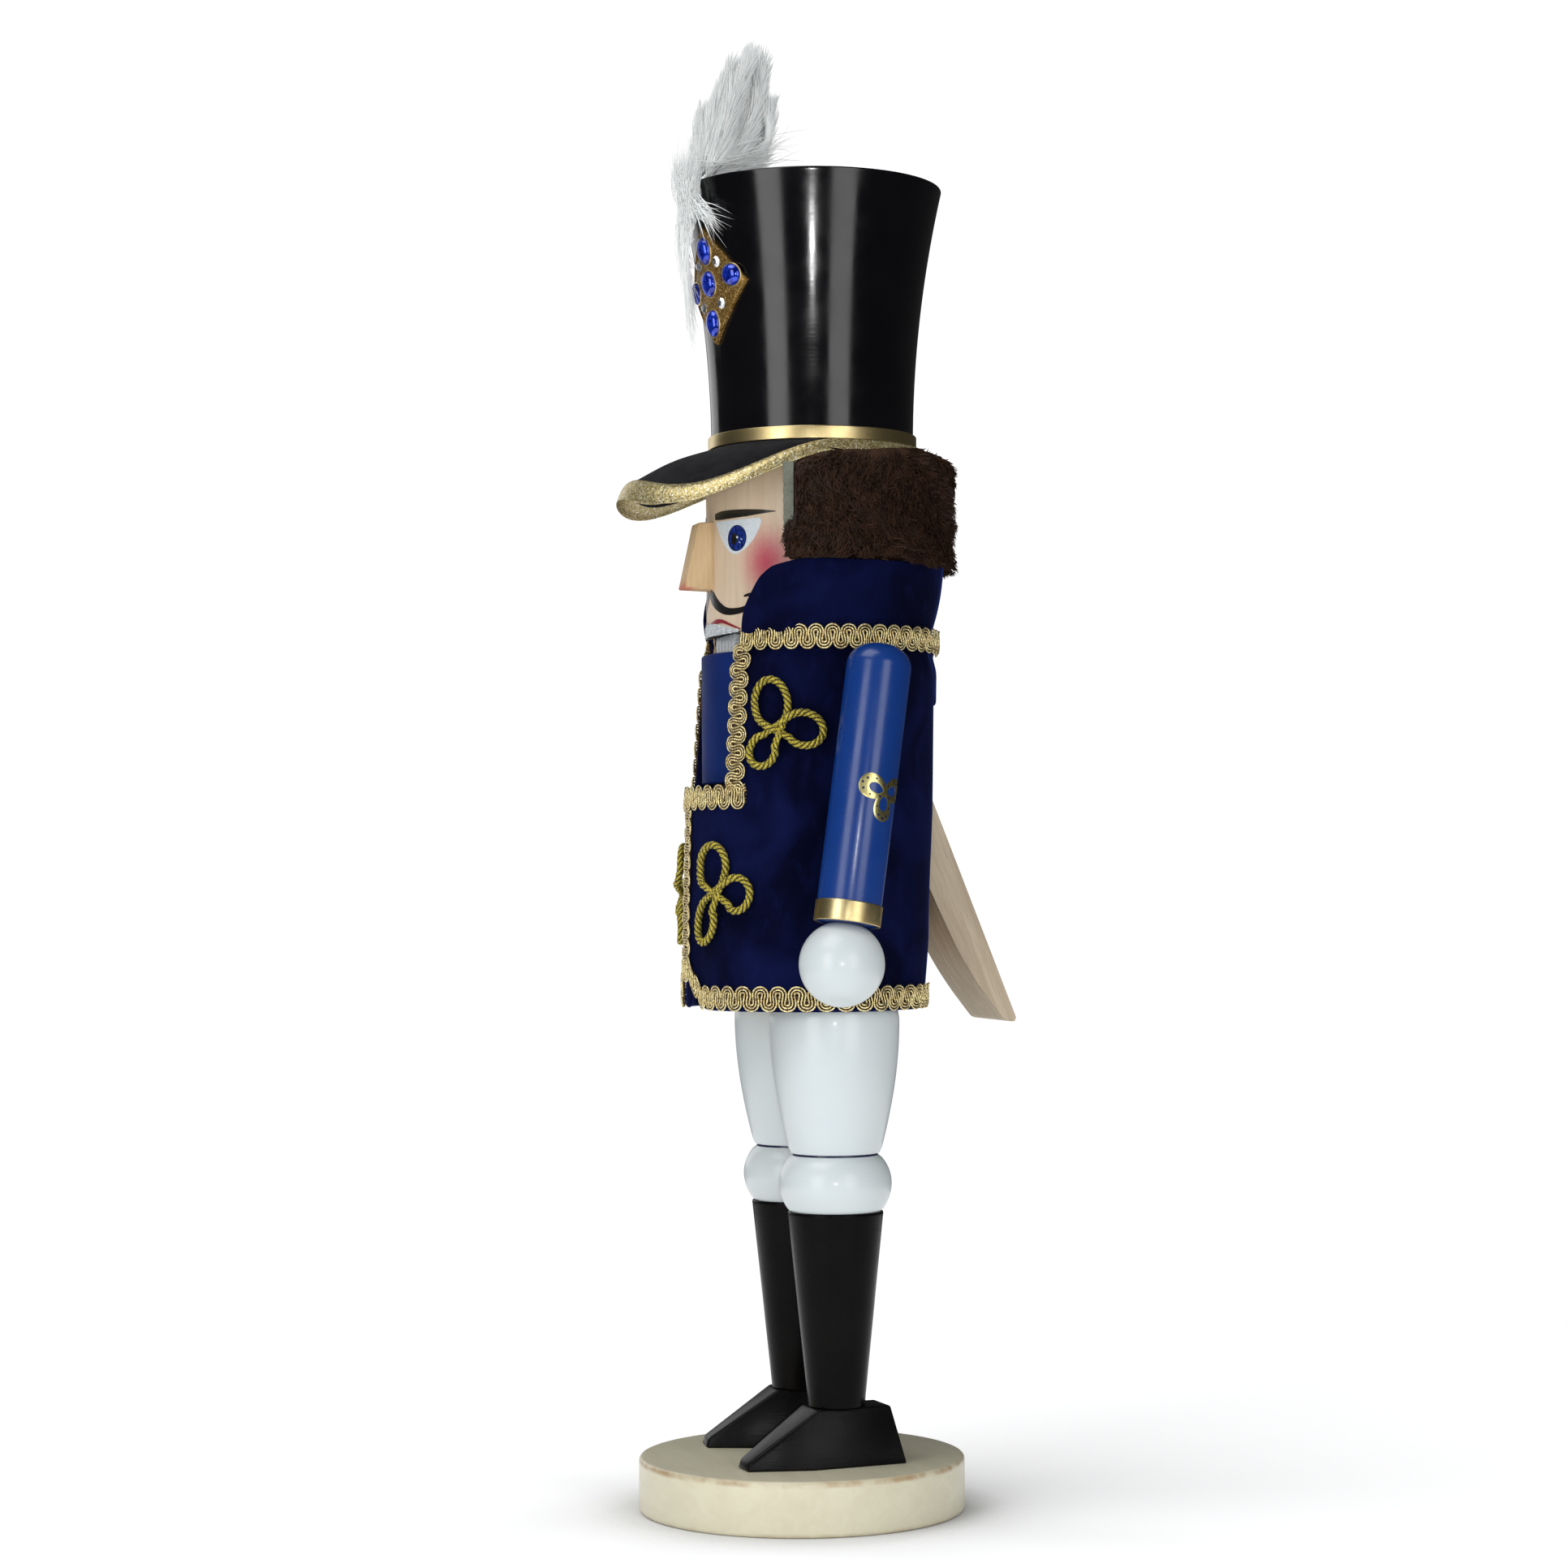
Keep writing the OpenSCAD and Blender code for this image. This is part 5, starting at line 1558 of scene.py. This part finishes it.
def materials():
    tail_turn = (-21.4, 0, 0)
    return {
        "ivory": ivory_wood(),
        "black": paint("black_satin", (0.0035, 0.003, 0.0028), (0.002, 0.0018, 0.0018), 0.27,
                       relief=0.02, level=0.07, worn=(0.02, 0.017, 0.014)),
        "shoe": paint("black_shoe", (0.005, 0.005, 0.0055), (0.003, 0.003, 0.0035), 0.3,
                      relief=0.04, level=0.12, worn=(0.05, 0.05, 0.05)),
        "white": paint("white_gloss", (0.60, 0.655, 0.665), (0.588, 0.642, 0.652), 0.32, coat=0.2,
                       relief=0.004),
        "blue": paint("blue_gloss", (0.004, 0.036, 0.20), (0.003, 0.031, 0.175), 0.25, coat=0.1,
                      relief=0.012),
        # The jaw's blue is a darker copy of the arms' blue paint: painted shade of its place under the
        # head.
        "jaw": paint("blue_jaw", (0.003, 0.018, 0.125), (0.002, 0.014, 0.10), 0.6, relief=0.02, level=0.12),
        "lever": bare_wood("tail_wood", (0.53, 0.44, 0.32), (0.42, 0.335, 0.235), 2, tail_turn),
        "nose": bare_wood("nose_wood", (0.68, 0.49, 0.28), (0.58, 0.40, 0.21), 2, tip=True),
        "raw": bare_wood("raw_wood", (0.66, 0.50, 0.33), (0.53, 0.38, 0.23)),
        "teeth": enamel("teeth_paint", (0.62, 0.66, 0.68), (0.42, 0.45, 0.47), 0.35),
        "face": face_wood(), "velvet": velvet(), "felt": felt(), "fur": fur(), "feather": feather(),
        "lacquer": paint("black_lacquer", (0.003, 0.003, 0.004), (0.002, 0.002, 0.003), 0.14,
                         relief=0.01),
        "foil": gold("gold_foil", (0.88, 0.72, 0.38), (0.74, 0.58, 0.27), 0.36, relief=0.03,
                     lines=0.12),
        "stencil": gold("gold_stencil", (0.80, 0.72, 0.34), (0.5, 0.42, 0.14), 0.35),
        "trim": glitter("gold_glitter", (0.74, 0.62, 0.32), (0.42, 0.33, 0.12), (1, 0.95, 0.75)),
        "card": glitter("cockade_glitter", (0.42, 0.25, 0.06), (0.17, 0.09, 0.015), (0.9, 0.65, 0.3),
                        0.3, 0.55),
        "braid": metal_thread("gold_braid", (1.0, 0.84, 0.44), (0.40, 0.25, 0.075), 0.8, 0.25, 0.6),
        # The warp is a brownish core thread, darkened further as painted shade under the gimp's loops.
        "warp": metal_thread("gold_warp", (0.13, 0.07, 0.018), (0.035, 0.017, 0.005), 0.4, 0.4),
        "cord": metal_thread("gold_cord", (0.56, 0.46, 0.055), (0.13, 0.10, 0.010), 0.45, 0.32, 0.5),
        # Near-black thread laid in the cord's grooves: painted shade.
        "furrow": metal_thread("cord_furrow", (0.03, 0.022, 0.004), (0.010, 0.007, 0.002), 0.0, 0.7),
        "blue_gem": gem("blue_gem", (0.01, 0.06, 0.75), (0.0, 0.01, 0.28), 0.55),
        "clear_gem": gem("clear_gem", (0.92, 0.94, 0.96), (0.45, 0.48, 0.5), 0.9),
        "black_enamel": enamel("black_enamel", (0.010, 0.009, 0.009), (0.004, 0.004, 0.004)),
        "white_enamel": enamel("white_enamel", (0.72, 0.78, 0.82), (0.62, 0.68, 0.73)),
        # Navy paint for the irises' rims and the stencil dots, and painted shade in the knee grooves.
        "navy_enamel": enamel("navy_enamel", (0.006, 0.010, 0.06), (0.003, 0.005, 0.035)),
        "red_enamel": enamel("red_enamel", (0.32, 0.018, 0.035), (0.2, 0.01, 0.02)),
        "iris": iris_paint(), "steel": steel(),
        "backing": metal_thread("fur_backing_cloth", (0.17, 0.18, 0.14), (0.09, 0.095, 0.075), 0.0, 0.8)}


def shown_cad(m):
    """The wooden core and its pins are right as they are and only need their finish."""
    for name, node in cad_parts.items():
        if name == "torso" or "dowel" in name:
            node.data.materials.clear()
            node.data.materials.append(m["raw"])
        if name == "pivot_pin":
            node.data.materials.clear()
            node.data.materials.append(m["steel"])


camera()
finish = materials()
for build in (base_disc, legs, shoes, lever, jaw, head, nose, painted_face, fur_backing, fur_hairs,
              fur_edges, hat, visor_piece, cockade, plume, coat, collar, braids, knots, arms,
              shown_cad):
    build(finish)
stage()
lights()
